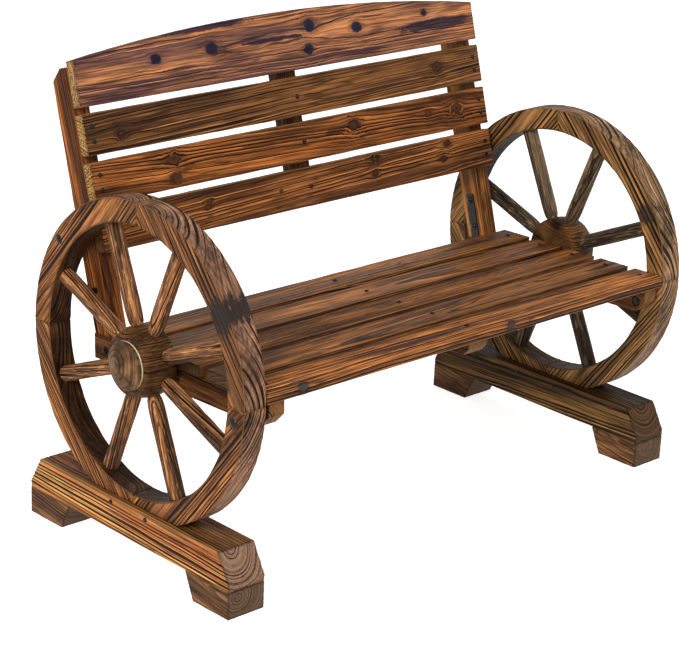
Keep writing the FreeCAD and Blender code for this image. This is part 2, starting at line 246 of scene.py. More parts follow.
class Tree:
    """A node tree with a short call for each kind of node that this bench needs."""

    # Kinds of socket, by a word, by the type of a value, or by the number of its parts
    sockets = {
        "geometry": "NodeSocketGeometry",
        "object": "NodeSocketObject",
        "material": "NodeSocketMaterial",
        bool: "NodeSocketBool",
        int: "NodeSocketInt",
        float: "NodeSocketFloat",
        3: "NodeSocketVector",
        4: "NodeSocketColor",
    }

    def __init__(self, data):
        self.data = data

    @classmethod
    def group(cls, name, kind, inputs, outputs):
        """Node group with named sockets, each given by a default value or by a word for its kind."""
        tree = cls(bpy.data.node_groups.new(name, kind))
        for label, default in inputs.items():
            tree.declare(label, "INPUT", default)
        for label, default in outputs.items():
            tree.declare(label, "OUTPUT", default)
        tree.source = tree.node("NodeGroupInput")
        tree.sink = tree.node("NodeGroupOutput")
        return tree

    def declare(self, label, way, default):
        kind = default
        if not isinstance(default, str):
            kind = len(default) if isinstance(default, tuple) else type(default)
        socket = self.data.interface.new_socket(label, in_out=way, socket_type=self.sockets[kind])
        if not isinstance(default, str):
            socket.default_value = default

    def __getitem__(self, label):
        return Wire(self, self.source.outputs[label])

    def take(self, labels):
        """Some of the tree's own inputs, to be passed on."""
        return {label: self[label] for label in labels}

    def put(self, label, value):
        self.feed(self.sink.inputs[label], value)

    def node(self, kind, inputs=None, **settings):
        made = self.data.nodes.new(kind)
        for name, value in settings.items():
            setattr(made, name, value)
        for key, value in (inputs or {}).items():
            self.feed(made.inputs[key], value)
        return made

    def feed(self, socket, value):
        if isinstance(value, Wire):
            self.data.links.new(value.socket, socket)
        elif socket.type == "VECTOR" and isinstance(value, (int, float)):
            socket.default_value = (value, value, value)
        else:
            socket.default_value = value

    def out(self, key, kind, inputs=None, **settings):
        return Wire(self, self.node(kind, inputs, **settings).outputs[key])

    def use(self, group, inputs):
        """Another group placed in this tree."""
        kind = "GeometryNodeGroup" if self.data.type == "GEOMETRY" else "ShaderNodeGroup"
        made = self.node(kind, node_tree=group.data)
        for label, value in inputs.items():
            self.feed(made.inputs[label], value)
        return {socket.name: Wire(self, socket) for socket in made.outputs}

    def is_vector(self, value):
        if isinstance(value, Wire):
            return value.socket.type in ("VECTOR", "RGBA")
        return isinstance(value, (tuple, Vector))

    def calc(self, operation, *values):
        inputs = dict(enumerate(values))
        if not any(self.is_vector(value) for value in values):
            return self.out("Value", "ShaderNodeMath", inputs, operation=operation)
        key = "Value" if operation in ("LENGTH", "DOT_PRODUCT") else "Vector"
        return self.out(key, "ShaderNodeVectorMath", inputs, operation=operation)

    def least(self, a, b):
        return self.calc("MINIMUM", a, b)

    def most(self, a, b):
        return self.calc("MAXIMUM", a, b)

    def split(self, vector):
        made = self.node("ShaderNodeSeparateXYZ", {0: vector})
        return [Wire(self, socket) for socket in made.outputs]

    def join(self, x, y, z):
        return self.out(0, "ShaderNodeCombineXYZ", {0: x, 1: y, 2: z})

    def rise(self, value, low, high):
        """Smooth step from 0 to 1 between two values."""
        inputs = {0: value, 1: low, 2: high}
        return self.out(0, "ShaderNodeMapRange", inputs, interpolation_type="SMOOTHSTEP")

    def noise(self, place, detail=2.0):
        return self.out("Fac", "ShaderNodeTexNoise", {"Vector": place, "Scale": 1.0, "Detail": detail})

    def line_noise(self, value):
        inputs = {"W": value, "Scale": 1.0, "Detail": 1.0}
        return self.out("Fac", "ShaderNodeTexNoise", inputs, noise_dimensions="1D")

    def chance(self, value):
        """A random number for each whole value."""
        return self.out("Value", "ShaderNodeTexWhiteNoise", {"W": value}, noise_dimensions="1D")

    def mix(self, share, a, b, blend="MIX"):
        inputs = {0: share, 6: a, 7: b}
        return self.out(2, "ShaderNodeMix", inputs, data_type="RGBA", blend_type=blend)

    def position(self):
        return self.out(0, "GeometryNodeInputPosition")

    def store(self, mesh, name, value):
        kind = "FLOAT_VECTOR" if self.is_vector(value) else "FLOAT"
        inputs = {"Geometry": mesh, "Name": name, "Value": value}
        return self.out(0, "GeometryNodeStoreNamedAttribute", inputs, data_type=kind, domain="POINT")

    def moved(self, mesh, place):
        return self.out(0, "GeometryNodeSetPosition", {"Geometry": mesh, "Position": place})

    def shape_of(self, thing):
        return self.out("Geometry", "GeometryNodeObjectInfo", {"Object": thing})

    def carved(self, mesh, cutter, crossing=False):
        """The mesh less the shape of an object, whose parts may cross each other."""
        inputs = {"Mesh 1": mesh, "Mesh 2": self.shape_of(cutter), "Self Intersection": crossing}
        return self.out("Mesh", "GeometryNodeMeshBoolean", inputs, operation="DIFFERENCE", solver="EXACT")

    def point(self, points, index):
        """The three numbers of a point."""
        inputs = {"Geometry": points, "Value": self.position(), "Index": index}
        kinds = {"data_type": "FLOAT_VECTOR", "domain": "POINT"}
        return self.split(self.out(0, "GeometryNodeSampleIndex", inputs, **kinds))

    def finish(self, mesh):
        """Last steps of every piece: realized, smooth and with its material."""
        mesh = self.out(0, "GeometryNodeRealizeInstances", {"Geometry": mesh})
        mesh = self.out(0, "GeometryNodeSetShadeSmooth", {"Geometry": mesh})
        inputs = {"Geometry": mesh, "Material": self["Material"]}
        self.put("Mesh", self.out(0, "GeometryNodeSetMaterial", inputs))


# Geometry trees
BLOCK_INPUTS = {"Size": (1.0, 0.1, 0.02), "Lines": (100.0, 60.0, 16.0), "Edge radius": board_edge}
CUT_INPUTS = {"Cut": "object", "Has cut": False}
RING_INPUTS = {
    "Pith": (0.0, 0.0, 0.0),
    "Lean": (0.0, 0.0, 0.0),
    "Ring width": 4 * MM,
    "Wander": 6 * MM,
    "Seed": 1.0,
    "Relief": 0.3 * MM,
}


def shape_tree(name, inputs):
    return Tree.group(name, "GeometryNodeTree", inputs, {"Mesh": "geometry"})


def wood_tree(name, inputs):
    return shape_tree(name, inputs | RING_INPUTS | {"Knots": "object", "Material": "material"})


def rounded_block():
    """Block with one corner at the origin and rounded edges; distances to edges and ends are stored."""
    t = shape_tree("Rounded block", BLOCK_INPUTS)
    size, lines, radius = t.take(BLOCK_INPUTS).values()
    counts = t.split(lines + 1.0)
    inputs = {"Size": 1.0, "Vertices X": counts[0], "Vertices Y": counts[1], "Vertices Z": counts[2]}
    cube = t.out("Mesh", "GeometryNodeMeshCube", inputs)
    step = (t.position() + 0.5) * lines
    near = t.least(step, 2.0) * 0.5
    far = t.most(step - (lines - 2.0), 0.0) * 0.5
    middle = (t.least(t.most(step, 2.0), lines - 2.0) - 2.0) / (lines - 4.0)
    place = (near * near + far * (2.0 - far)) * radius + middle * (size - radius * 2.0)
    core = t.least(t.most(place, radius), size - radius)
    away = t.calc("NORMALIZE", place - core)
    margin = t.split(t.least(place, size - place))
    low = t.least(t.least(margin[0], margin[1]), margin[2])
    high = t.most(t.most(margin[0], margin[1]), margin[2])
    mesh = t.store(cube, "edge", margin[0] + margin[1] + margin[2] - low - high)
    mesh = t.store(mesh, "end", margin[0])
    t.put("Mesh", t.moved(mesh, core + away * radius))
    return t


def growth_rings():
    """Year rings round a pith that leans through the wood, bent round knots, raised a little by brushing."""
    t = shape_tree("Growth rings", {"Mesh": "geometry", "Knots": "geometry"} | RING_INPUTS)
    place = t.position()
    along, across, through = t.split(place)
    inputs = {"Geometry": t["Knots"], "Sample Position": t.join(along, across, 0.0)}
    nearest = t.out("Index", "GeometryNodeSampleNearest", inputs, domain="POINT")
    knot_along, knot_across, knot_radius = t.point(t["Knots"], nearest)
    aside = across - knot_across
    apart = t.calc("LENGTH", t.join((along - knot_along) / 1.5, aside, 0.0))
    ragged = t.noise(place * 110.0) * 1.3 + 0.35
    knot = apart * ragged / knot_radius
    squeeze = 1.0 / t.calc("POWER", t.most(knot, 1.0), 2.0)
    bent = across - aside * squeeze * 0.85
    _, pith_across, pith_through = t.split(t["Pith"] + t["Lean"] * along)
    grain = t.join(along, bent - pith_across, through - pith_through)
    seed = t["Seed"] * 17.3
    slow = t.noise(grain * (2.6, 16.0, 16.0) + seed) - 0.5
    quick = t.noise(grain * (11.0, 45.0, 45.0) + seed) - 0.5
    radius = t.calc("LENGTH", grain * (0.0, 1.0, 1.0)) + (slow * 2.0 + quick * 0.35) * t["Wander"]
    rings = radius / t["Ring width"]
    rings = rings + t.line_noise(rings * 0.4 + seed) * 1.6
    mesh = t.store(t["Mesh"], "rings", rings)
    mesh = t.store(mesh, "grain", grain + seed)
    mesh = t.store(mesh, "knot", knot)
    part = t.calc("FRACT", rings)
    ridge = t.rise(part, 0.3, 0.8) * (1.0 - t.rise(part, 0.88, 1.0)) - 0.6
    bump = ridge + (1.0 - t.rise(knot, 0.8, 1.2)) * 0.8
    normal = t.out(0, "GeometryNodeInputNormal")
    outward = t.calc("NORMALIZE", grain * (0.0, 1.0, 1.0))
    mesh = t.store(mesh, "flat", t.calc("ABSOLUTE", t.calc("DOT_PRODUCT", outward, normal)))
    mesh = t.store(mesh, "cut", t.calc("ABSOLUTE", t.split(normal)[0]))
    t.put("Mesh", t.moved(mesh, place + normal * bump * t["Relief"]))
    return t


def with_rings(t, mesh, rings):
    """Growth rings of a wood tree, and its last steps."""
    inputs = {"Mesh": mesh, "Knots": t.shape_of(t["Knots"])}
    t.finish(t.use(rings, inputs | t.take(RING_INPUTS))["Mesh"])


def cut_away(t, mesh):
    """The mesh less the shape of the tree's Cut object, where it has one."""
    inputs = {0: t["Has cut"], 1: mesh, 2: t.carved(mesh, t["Cut"])}
    return t.out(0, "GeometryNodeSwitch", inputs, input_type="GEOMETRY")


def board_tree(block, rings):
    """Board along X with sawn ends, an arched upper edge where it has one, and a slight bow."""
    inputs = {
        "Corner": (0.0, 0.0, 0.0),
        "Start cut": square,
        "End cut": square,
        "Arch": (1.0, 1.0, 1.0),
        "Bow": 0.6 * MM,
    }
    t = wood_tree("Board", BLOCK_INPUTS | CUT_INPUTS | inputs)
    mesh = t.use(block, t.take(BLOCK_INPUTS))["Mesh"]
    along, across, through = t.split(t.position())
    length, width, _ = t.split(t["Size"])
    share = along / length
    height = across / width

    def cut_back(label):
        run, depth, below = t.split(t[label])
        level = height + below * (1.0 - height * 2.0)
        return run * t.most(1.0 - (1.0 - level) * width / depth, 0.0)

    along = along + cut_back("Start cut") * (1.0 - share) - cut_back("End cut") * share
    first, middle, last = t.split(t["Arch"])
    rest = 1.0 - share
    arch = first * rest * (rest - share) + middle * share * rest * 4.0 + last * share * (share - rest)
    wave = t.noise(t.join(along * 3.0, t["Seed"], 0.0)) - 0.5
    across = across * arch + wave * t["Bow"]
    through = through + (t.noise(t.join(along * 3.0, t["Seed"], 5.0)) - 0.5) * t["Bow"]
    mesh = t.moved(mesh, t.join(along, across, through) + t["Corner"])
    with_rings(t, cut_away(t, mesh), rings)
    return t


def felloe_tree(block, rings):
    """Block bent round the wheel's centre: straight grain, painted shade on its inner side, and a painted
    sheen on its outer side.
    """
    inputs = {"Sweep": 1.0, "Inner radius": 0.2, "Edge radius": rim_edge}
    t = wood_tree("Felloe", BLOCK_INPUTS | inputs)
    mesh = t.use(block, t.take(BLOCK_INPUTS))["Mesh"]
    along, across, through = t.split(t.position())
    length, depth, width = t.split(t["Size"])
    # Mask of the painted shade on the inner side
    mesh = t.store(mesh, "burn", 1.0 - t.rise(across, 0.5 * MM, 3 * MM))
    # Mask of the painted sheen on the outer side
    mesh = t.store(mesh, "weather", 1.0 - t.rise(depth - across, 0.5 * MM, 3 * MM))
    angle = (along / length - 0.5) * t["Sweep"]
    radius = t["Inner radius"] + across
    x = radius * t.calc("SINE", angle)
    y = radius * t.calc("COSINE", angle)
    with_rings(t, t.moved(mesh, t.join(x, y, through - width * 0.5)), rings)
    return t


def revolved():
    """Round shape about X from a profile of points whose x is the distance and y the radius."""
    t = shape_tree("Revolved", {"Profile": "geometry", "Points": 10, "Around": 48})
    inputs = {"Size X": 1.0, "Size Y": 1.0, "Vertices X": t["Points"], "Vertices Y": t["Around"] + 1}
    grid = t.out("Mesh", "GeometryNodeMeshGrid", inputs)
    along, turn, _ = t.split(t.position())
    index = t.calc("ROUND", (along + 0.5) * (t["Points"] - 1))
    distance, radius, margin = t.point(t["Profile"], index)
    angle = (turn + 0.5) * math.tau
    place = t.join(distance, radius * t.calc("COSINE", angle), radius * t.calc("SINE", angle))
    mesh = t.store(t.store(grid, "edge", margin), "end", far_off)
    mesh = t.moved(mesh, place)
    t.put("Mesh", t.out(0, "GeometryNodeMergeByDistance", {"Geometry": mesh, "Distance": weld_distance}))
    return t


def turned_tree(revolve, rings):
    """Turned wood with slight hand-made unevenness, and sockets where it has them."""
    inputs = {"Profile": "object", "Points": 10, "Around": 48, "Uneven": 0.0}
    t = wood_tree("Turned", inputs | CUT_INPUTS)
    inputs = {"Profile": t.shape_of(t["Profile"])} | t.take(("Points", "Around"))
    mesh = t.use(revolve, inputs)["Mesh"]
    place = t.position()
    seed = t["Seed"] * 3.7
    lumps = t.noise(place * (14.0, 45.0, 45.0) + seed) - 0.5
    normal = t.out(0, "GeometryNodeInputNormal")
    mesh = t.moved(mesh, place + normal * lumps * t["Uneven"])
    with_rings(t, cut_away(t, mesh), rings)
    return t


def screw_tree(revolve):
    """A turned head with a cross recess on every point, turned a little at random."""
    inputs = {"Places": "object", "Profile": "object", "Points": 10, "Around": 24, "Recess": "object"}
    t = shape_tree("Screws", inputs | {"Material": "material"})
    inputs = {"Profile": t.shape_of(t["Profile"])} | t.take(("Points", "Around"))
    head = t.carved(t.use(revolve, inputs)["Mesh"], t["Recess"], crossing=True)
    way = t.out(0, "GeometryNodeInputNamedAttribute", {"Name": "way"}, data_type="FLOAT_VECTOR")
    turn = t.chance(t.out(0, "GeometryNodeInputIndex") + 0.0) * math.tau
    spin = t.out(0, "FunctionNodeAxisAngleToRotation", {"Axis": (1.0, 0.0, 0.0), "Angle": turn})
    turned = t.out(0, "FunctionNodeAlignRotationToVector", {"Vector": way}, axis="X")
    turned = t.out(0, "FunctionNodeRotateRotation", {0: turned, 1: spin}, rotation_space="LOCAL")
    inputs = {"Points": t.shape_of(t["Places"]), "Instance": head, "Rotation": turned}
    t.finish(t.out(0, "GeometryNodeInstanceOnPoints", inputs))
    return t


# Shader groups
def attribute(t, name, key="Fac"):
    return t.out(key, "ShaderNodeAttribute", attribute_name=name)


def fibres(t, grain, lengthwise):
    """Fine hairs and broader streaks along the grain, about zero."""
    fine = (t.rise(t.noise(grain * (12.0, 360.0, 360.0)), 0.35, 0.65) - 0.5) * lengthwise
    streak = (t.noise(grain * (5.0, 170.0, 170.0)) - 0.5) * lengthwise
    return fine, streak


def ground(t, grain, lengthwise, streak):
    """Broad tones, streaks and flecks along the grain, and bands across it."""
    fleck = t.rise(t.noise(grain * (50.0, 260.0, 260.0)), 0.54, 0.66) * lengthwise
    tone = t.noise(grain * (2.4, 34.0, 34.0), 3.0) - 0.5
    band = t.noise(grain * (6.0, 4.0, 4.0), 3.0) - 0.5
    shade = t["Depth"] + (tone * t["Tone"] + band * t["Bands"] + streak * t["Fibres"] * 0.6) * 2.0
    shade = t.most(t.least(shade - fleck * t["Flecks"], 1.0), 0.0)
    return t.mix(shade, t["Light"], t["Middle"])


def year_lines(t, colour, grain, streak):
    """Each year's late wood as a dark line, and beside it the bright early wood of some years, which is
    partly the wood's own colour and partly a painted highlight on the raised ridges.
    """
    rings = attribute(t, "rings")
    year = t.calc("FLOOR", rings)
    part = t.calc("FRACT", rings)
    along_rings = t.rise(attribute(t, "flat"), 0.65, 1.0)
    share = t["Late share"] * (t.chance(year + 0.5) * 0.6 + 0.7) * (1.0 - along_rings * 0.5)
    begin = 1.0 - share
    soft = 0.06 - along_rings * 0.03
    late = t.rise(part, begin - soft, begin + soft) * (1.0 - t.rise(part, 0.94, 1.0))
    late = late * (t.chance(year) * 0.7 + 0.3)
    faint = t.rise(t.calc("FRACT", rings * 2.6 + streak), 0.5, 0.9) * (1.0 - t.rise(part, 0.6, 0.7))
    late = t.most(late, faint * t.chance(year + 0.75) * 0.5)
    # Bright early wood: partly its own colour, partly a painted highlight on the raised ridges
    early_and_glint = (1.0 - t.rise(part, 0.05, 0.35)) * t.rise(t.chance(year + 0.25), 0.35, 0.9)
    clear = t.rise(t.noise(grain * (4.0, 25.0, 25.0) + 3.0), 0.3, 0.7) * 0.7 + 0.5
    clear = clear * (1.0 - along_rings * t["Plain sides"])
    colour = t.mix(t.least(late * t["Lines"] * clear, 1.0), colour, t["Dark"])
    colour = t.mix(t.least(early_and_glint * t["Bright lines"] * clear, 1.0), colour, t["Light"])
    return colour, late


def with_tread_sheen(t, colour):
    """Painted sheen: greyer and a little lighter on the rim's outer side."""
    grey = t.out(0, "ShaderNodeRGBToBW", {0: colour})
    # Painted sheen of the white surroundings on the outer side
    return t.mix(attribute(t, "weather") * t["Ashen"], colour, grey * 1.05)


def cracks(t, grain, lengthwise):
    """Thin cracks along the grain, in some places only."""
    vein = t.calc("ABSOLUTE", t.noise(grain * (6.0, 130.0, 130.0) + 11.0) - 0.5)
    crack = (1.0 - t.rise(vein, 0.015, 0.05)) * lengthwise
    crack = crack * t.rise(t.noise(grain * (10.0, 50.0, 50.0) + 5.0), 0.48, 0.6)
    return crack * t["Cracks"]


def sawn_ends(t, colour, grain, late):
    """Sawn ends with the rings drawn on them."""
    sawn_end = 1.0 - t.rise(attribute(t, "end"), 0.6 * MM, 1.8 * MM)
    speckle = t.rise(t.noise(grain * (100.0, 420.0, 420.0)), 0.4, 0.7)
    sawn = t.mix(t.least(late * 0.8 + speckle * t["Speckle"], 1.0), t["End"], t["Dark"])
    return t.mix(sawn_end, colour, sawn)


def shaded_sides(t, colour):
    """Painted shade on the sides that face one way, darkened evenly toward the burnt colour."""
    facing = t.calc("ABSOLUTE", t.calc("DOT_PRODUCT", t.out("Normal", "ShaderNodeTexCoord"), t["Side"]))
    # Painted shade, mixed toward the burnt colour
    return t.mix(t.rise(facing, 0.7, 0.95) * t["Side burn"], colour, t["Burnt"])


def worked_edges(t, colour, cloud, streak):
    """Painted shade over the rim's inner side; edges darkened beside the arris, partly burnt wood and partly
    painted shade; and light along the arris, partly worn wood and partly a painted highlight.
    """
    edge = attribute(t, "edge")
    # Painted shade over the rim's inner side, mixed toward the burnt colour
    colour = t.mix(attribute(t, "burn") * t.least(cloud + 0.35, 0.9), colour, t["Burnt"])
    # Edges darkened beside the arris: partly burnt wood, partly painted shade in the gaps and on the shadow
    # side
    burn = (1.0 - t.rise(edge, 0.5 * MM, 4.5 * MM)) * t["Edge burn"] * (cloud + 0.3)
    colour = t.mix(t.least(burn, 1.0), colour, t["Burnt"])
    # Light along the arris: partly worn wood, partly a painted highlight
    wear = (1.0 - t.rise(edge, 0.3 * MM, 2.2 * MM)) * t.rise(attribute(t, "end"), 1.5 * MM, 5 * MM)
    wear = wear * t.least((streak * 2.0 + 0.8) * t["Edge wear"], 1.0)
    return t.mix(wear, colour, t["Worn and highlight"])


def knotted(t, colour, grain):
    """Knots in a dark halo, with a burnt outline and here and there a pale crescent, which is a painted
    highlight.
    """
    knot = attribute(t, "knot")
    colour = t.mix((1.0 - t.rise(knot, 0.9, 2.4)) * 0.45, colour, t["Dark"])
    heart = t.noise(t.join(knot * 3.5, 0.0, 0.0) + grain * 40.0)
    eye = t.mix(t.rise(heart, 0.35, 0.65), t["Knot"], t["Dark"])
    colour = t.mix((1.0 - t.rise(knot, 0.75, 1.0)) * 0.95, colour, eye)
    outline = t.rise(knot, 0.78, 0.95) * (1.0 - t.rise(knot, 0.98, 1.15))
    # Pale crescents on the knot outlines are painted highlights
    knot_glint = t.rise(t.noise(grain * 60.0), 0.6, 0.66)
    return t.mix(outline * (0.8 - knot_glint * 0.3), colour, t.mix(knot_glint, t["Burnt"], t["Worn and highlight"]))


def scorched_grain():
    """Colour, roughness and height of scorched and brushed softwood, from the stored growth rings."""
    inputs = {
        "Light": (0.4, 0.12, 0.03, 1.0),
        "Middle": (0.15, 0.06, 0.02, 1.0),
        "Dark": (0.04, 0.015, 0.006, 1.0),
        "Burnt": (0.02, 0.012, 0.008, 1.0),
        # Colour of worn wood and of painted highlights
        "Worn and highlight": (0.5, 0.3, 0.15, 1.0),
        "Knot": (0.1, 0.04, 0.015, 1.0),
        "End": (0.2, 0.1, 0.05, 1.0),
        "Depth": 0.66,
        "Late share": 0.38,
        "Lines": 1.3,
        # Bright lines and highlights: early wood and painted highlights on the ridges
        "Bright lines": 0.8,
        "Fibres": 1.8,
        "Flecks": 0.0,
        "Cracks": 0.6,
        "Tone": 1.6,
        "Bands": 0.2,
        # Painted sheen on the rim's outer side
        "Ashen": 0.0,
        "Plain sides": 0.4,
        "Speckle": 0.3,
        "Scorch": 0.25,
        "Scorch size": (6.0, 30.0, 30.0),
        # Painted shade on the sides that face this way
        "Side": (0.0, 1.0, 0.0),
        "Side burn": 0.0,
        # Edge shading: burnt wood and painted shade beside the arris
        "Edge burn": 0.6,
        # Edge wear and highlight: worn wood and a painted highlight along the arris
        "Edge wear": 0.5,
    }
    outputs = {"Color": (0.0, 0.0, 0.0, 1.0), "Roughness": 0.5, "Height": 0.0}
    t = Tree.group("Scorched grain", "ShaderNodeTree", inputs, outputs)
    grain = attribute(t, "grain", "Vector")
    lengthwise = 1.0 - attribute(t, "cut")
    fine, streak = fibres(t, grain, lengthwise)
    colour = ground(t, grain, lengthwise, streak)
    colour, late = year_lines(t, colour, grain, streak)
    colour = t.mix(1.0, colour, 1.0 + (fine * 0.4 + streak) * t["Fibres"], "MULTIPLY")
    colour = with_tread_sheen(t, colour)
    crack = cracks(t, grain, lengthwise)
    colour = t.mix(crack, colour, t["Dark"])
    colour = sawn_ends(t, colour, grain, late)
    colour = shaded_sides(t, colour)

    # Patches that the flame has touched more
    cloud = t.noise(grain * t["Scorch size"] + 7.0, 4.0)
    touched = cloud + late * 0.12 + streak * 0.5 + fine * 0.06
    scorch = t.rise(touched, 0.84 - t["Scorch"] * 0.5, 0.92 - t["Scorch"] * 0.5)
    colour = t.mix(scorch * 0.75, colour, t["Burnt"])

    colour = worked_edges(t, colour, cloud, streak)
    t.put("Color", knotted(t, colour, grain))
    t.put("Roughness", 0.45 + fine * 0.1 + scorch * 0.1)
    t.put("Height", late * 0.6 + fine * 0.4 + streak * 0.6 - crack)
    return t


def flame_mark():
    """Colour with one ragged burnt place round a point of the bench."""
    inputs = {
        "Color": (0.5, 0.5, 0.5, 1.0),
        "Burnt": (0.02, 0.012, 0.008, 1.0),
        "Centre": (0.0, 0.0, 0.0),
        "Reach": (0.05, 0.02, 0.02),
        "Strength": 0.8,
    }
    t = Tree.group("Flame mark", "ShaderNodeTree", inputs, {"Color": (0.0, 0.0, 0.0, 1.0)})
    place = t.out("Object", "ShaderNodeTexCoord")
    ragged = t.noise(attribute(t, "grain", "Vector") * (30.0, 130.0, 130.0), 4.0) - 0.5
    torn = t.noise(place * 130.0, 3.0) - 0.5
    apart = t.calc("LENGTH", (place - t["Centre"]) / t["Reach"]) + ragged * 1.1 + torn * 0.6
    t.put("Color", t.mix((1.0 - t.rise(apart, 0.65, 0.95)) * t["Strength"], t["Color"], t["Burnt"]))
    return t


def metal_wear():
    """Colour and roughness of black steel that is rubbed here and there."""
    inputs = {"Coat": (0.02, 0.02, 0.02, 1.0), "Rubbed": (0.12, 0.11, 0.1, 1.0)}
    outputs = {"Color": (0.0, 0.0, 0.0, 1.0), "Roughness": 0.4}
    t = Tree.group("Rubbed steel", "ShaderNodeTree", inputs, outputs)
    place = t.out("Object", "ShaderNodeTexCoord")
    patch = t.rise(t.noise(place * 160.0, 3.0), 0.5, 0.75)
    t.put("Color", t.mix(patch * 0.6, t["Coat"], t["Rubbed"]))
    t.put("Roughness", 0.12 + t.noise(place * 420.0) * 0.15)
    return t


# Materials
def stain(red, green, blue):
    """Linear colour from values of 0 to 255 on a screen."""
    bright = [value / 255 for value in (red, green, blue)]
    return (*[((v + 0.055) / 1.055) ** 2.4 if v > 0.04 else v / 12.92 for v in bright], 1.0)


def as_labels(values):
    """Socket names from the names of arguments."""
    return {name.replace("_", " ").capitalize(): value for name, value in values.items()}


def new_material(name):
    material = bpy.data.materials.new(name)
    material.use_nodes = True
    tree = Tree(material.node_tree)
    shader = material.node_tree.nodes["Principled BSDF"]
    return material, tree, shader


def wood(
    name, light, middle, dark, burnt=char, worn_and_highlight=None, knot=None, end=None,
    sheen=wood_sheen, marks=(), **values,
):
    """Scorched softwood in its stains, with flame marks given by centre, reach, strength and stain."""
    stains = {"Light": light, "Middle": middle, "Dark": dark, "Burnt": burnt}
    stains |= {"Worn and highlight": worn_and_highlight or light, "Knot": knot or middle, "End": end or light}
    inputs = {label: stain(*colour) for label, colour in stains.items()}
    material, t, shader = new_material(name)
    made = t.use(grain_group, inputs | as_labels(values))
    colour = made["Color"]
    for centre, reach, strength, mark in marks:
        inputs = {"Color": colour, "Burnt": stain(*mark), "Strength": strength}
        colour = t.use(mark_group, inputs | {"Centre": centre, "Reach": reach})["Color"]
    inputs = {"Height": made["Height"], "Strength": 1.0, "Distance": ridge_height}
    t.feed(shader.inputs["Base Color"], colour)
    t.feed(shader.inputs["Roughness"], made["Roughness"])
    t.feed(shader.inputs["Normal"], t.out("Normal", "ShaderNodeBump", inputs))
    shader.inputs["Specular IOR Level"].default_value = sheen
    return material


def steel(name, coat, rubbed):
    """Black steel, rubbed here and there."""
    material, t, shader = new_material(name)
    made = t.use(steel_group, {"Coat": stain(*coat), "Rubbed": stain(*rubbed)})
    t.feed(shader.inputs["Base Color"], made["Color"])
    t.feed(shader.inputs["Roughness"], made["Roughness"])
    shader.inputs["Specular IOR Level"].default_value = steel_sheen
    return material


# Places of the pieces, read from the frame
def corners(node):
    """Points of a node's mesh."""
    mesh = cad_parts[node].data
    flat = np.empty(len(mesh.vertices) * 3)
    mesh.vertices.foreach_get("co", flat)
    return flat.reshape(-1, 3)


def axes(along, across, origin=(0, 0, 0)):
    """Place whose X runs along the grain and whose Y runs across it."""
    turn = Matrix((along, across, along.cross(across))).transposed().to_4x4()
    return Matrix.Translation(origin) @ turn


def local_box(node, place):
    """Lowest and highest corners of a node in a place of its own."""
    back = np.array(place.inverted())
    points = corners(node) @ back[:3, :3].T + back[:3, 3]
    return Vector(points.min(axis=0)), Vector(points.max(axis=0))


def seat_place():
    """Origin at the top rear edge of the rearmost slat, Y to the rear."""
    place = axes(ACROSS, seat_rearward)
    _, high = local_box("seat_slat_1", place)
    return axes(ACROSS, seat_rearward, place @ Vector((0, high.y, high.z)))


def back_place():
    """Origin at the lower front edge of the lowest slat, Y up the slope, Z to the front."""
    place = axes(ACROSS, back_slope)
    low, high = local_box("back_slat_1", place)
    return axes(ACROSS, back_slope, place @ Vector((0, low.y, high.z)))


class Wheel:
    """One wheel's centre and radii, read from its felloes."""

    def __init__(self, side):
        points = np.vstack([corners(f"{side}_felloe_{index + 1}") for index in range(felloe_count)])
        low, high = Vector(points.min(axis=0)), Vector(points.max(axis=0))
        self.side = side
        self.centre = (low + high) / 2
        self.width = high.x - low.x
        self.radius = (high.z - low.z) / 2
        self.inner = np.hypot(points[:, 1] - self.centre.y, points[:, 2] - self.centre.z).min()
        self.turn = wheel_turn[side]

    def outward(self, angle):
        """The way from the centre at an angle from the front."""
        return Vector((0, -math.cos(angle + self.turn), math.sin(angle + self.turn)))

    def spoke_ways(self):
        pitch = math.tau / spoke_count
        return [self.outward(pitch * (index + 0.5)) for index in range(spoke_count)]


# Helper meshes that feed the trees
def helper_object(name, mesh):
    thing = bpy.data.objects.new(name, mesh)
    scene.collection.objects.link(thing)
    helpers.append(thing)
    return thing


def helper_points(name, points):
    mesh = bpy.data.meshes.new(name)
    mesh.from_pydata(points, [], [])
    return helper_object(name, mesh)


def helper_shape(name, shape):
    mesh = bpy.data.meshes.new(name)
    shape.to_mesh(mesh)
    shape.free()
    return helper_object(name, mesh)


def drums(name, rods, place):
    """Round cutters between pairs of points, in the place's own axes."""
    shape = bmesh.new()
    back = place.inverted()
    for start, end, radius, steps in rods:
        a, b = back @ start, back @ end
        turn = (b - a).to_track_quat("Z", "Y").to_matrix().to_4x4()
        bmesh.ops.create_cone(
            shape,
            cap_ends=True,
            segments=steps,
            radius1=radius,
            radius2=radius,
            depth=(b - a).length,
            matrix=Matrix.Translation((a + b) / 2) @ turn,
        )
    return helper_shape(name, shape)


def profile(points, worn_and_highlight=()):
    """Outline of a turned piece: distance along the axis, radius, and 0 or far for an edge with worn light
    and a painted highlight, or not.
    """
    edges = [0.0 if index in worn_and_highlight else far_off for index in range(len(points))]
    return helper_points("profile", [(*point, edge) for point, edge in zip(points, edges)])


def evenly(start, end, steps):
    """Points from start to just before end."""
    return [
        tuple(a + (b - a) * step / steps for a, b in zip(start, end))
        for step in range(steps)
    ]


# Making a piece
def as_input(value):
    return tuple(value) if isinstance(value, Vector) else value


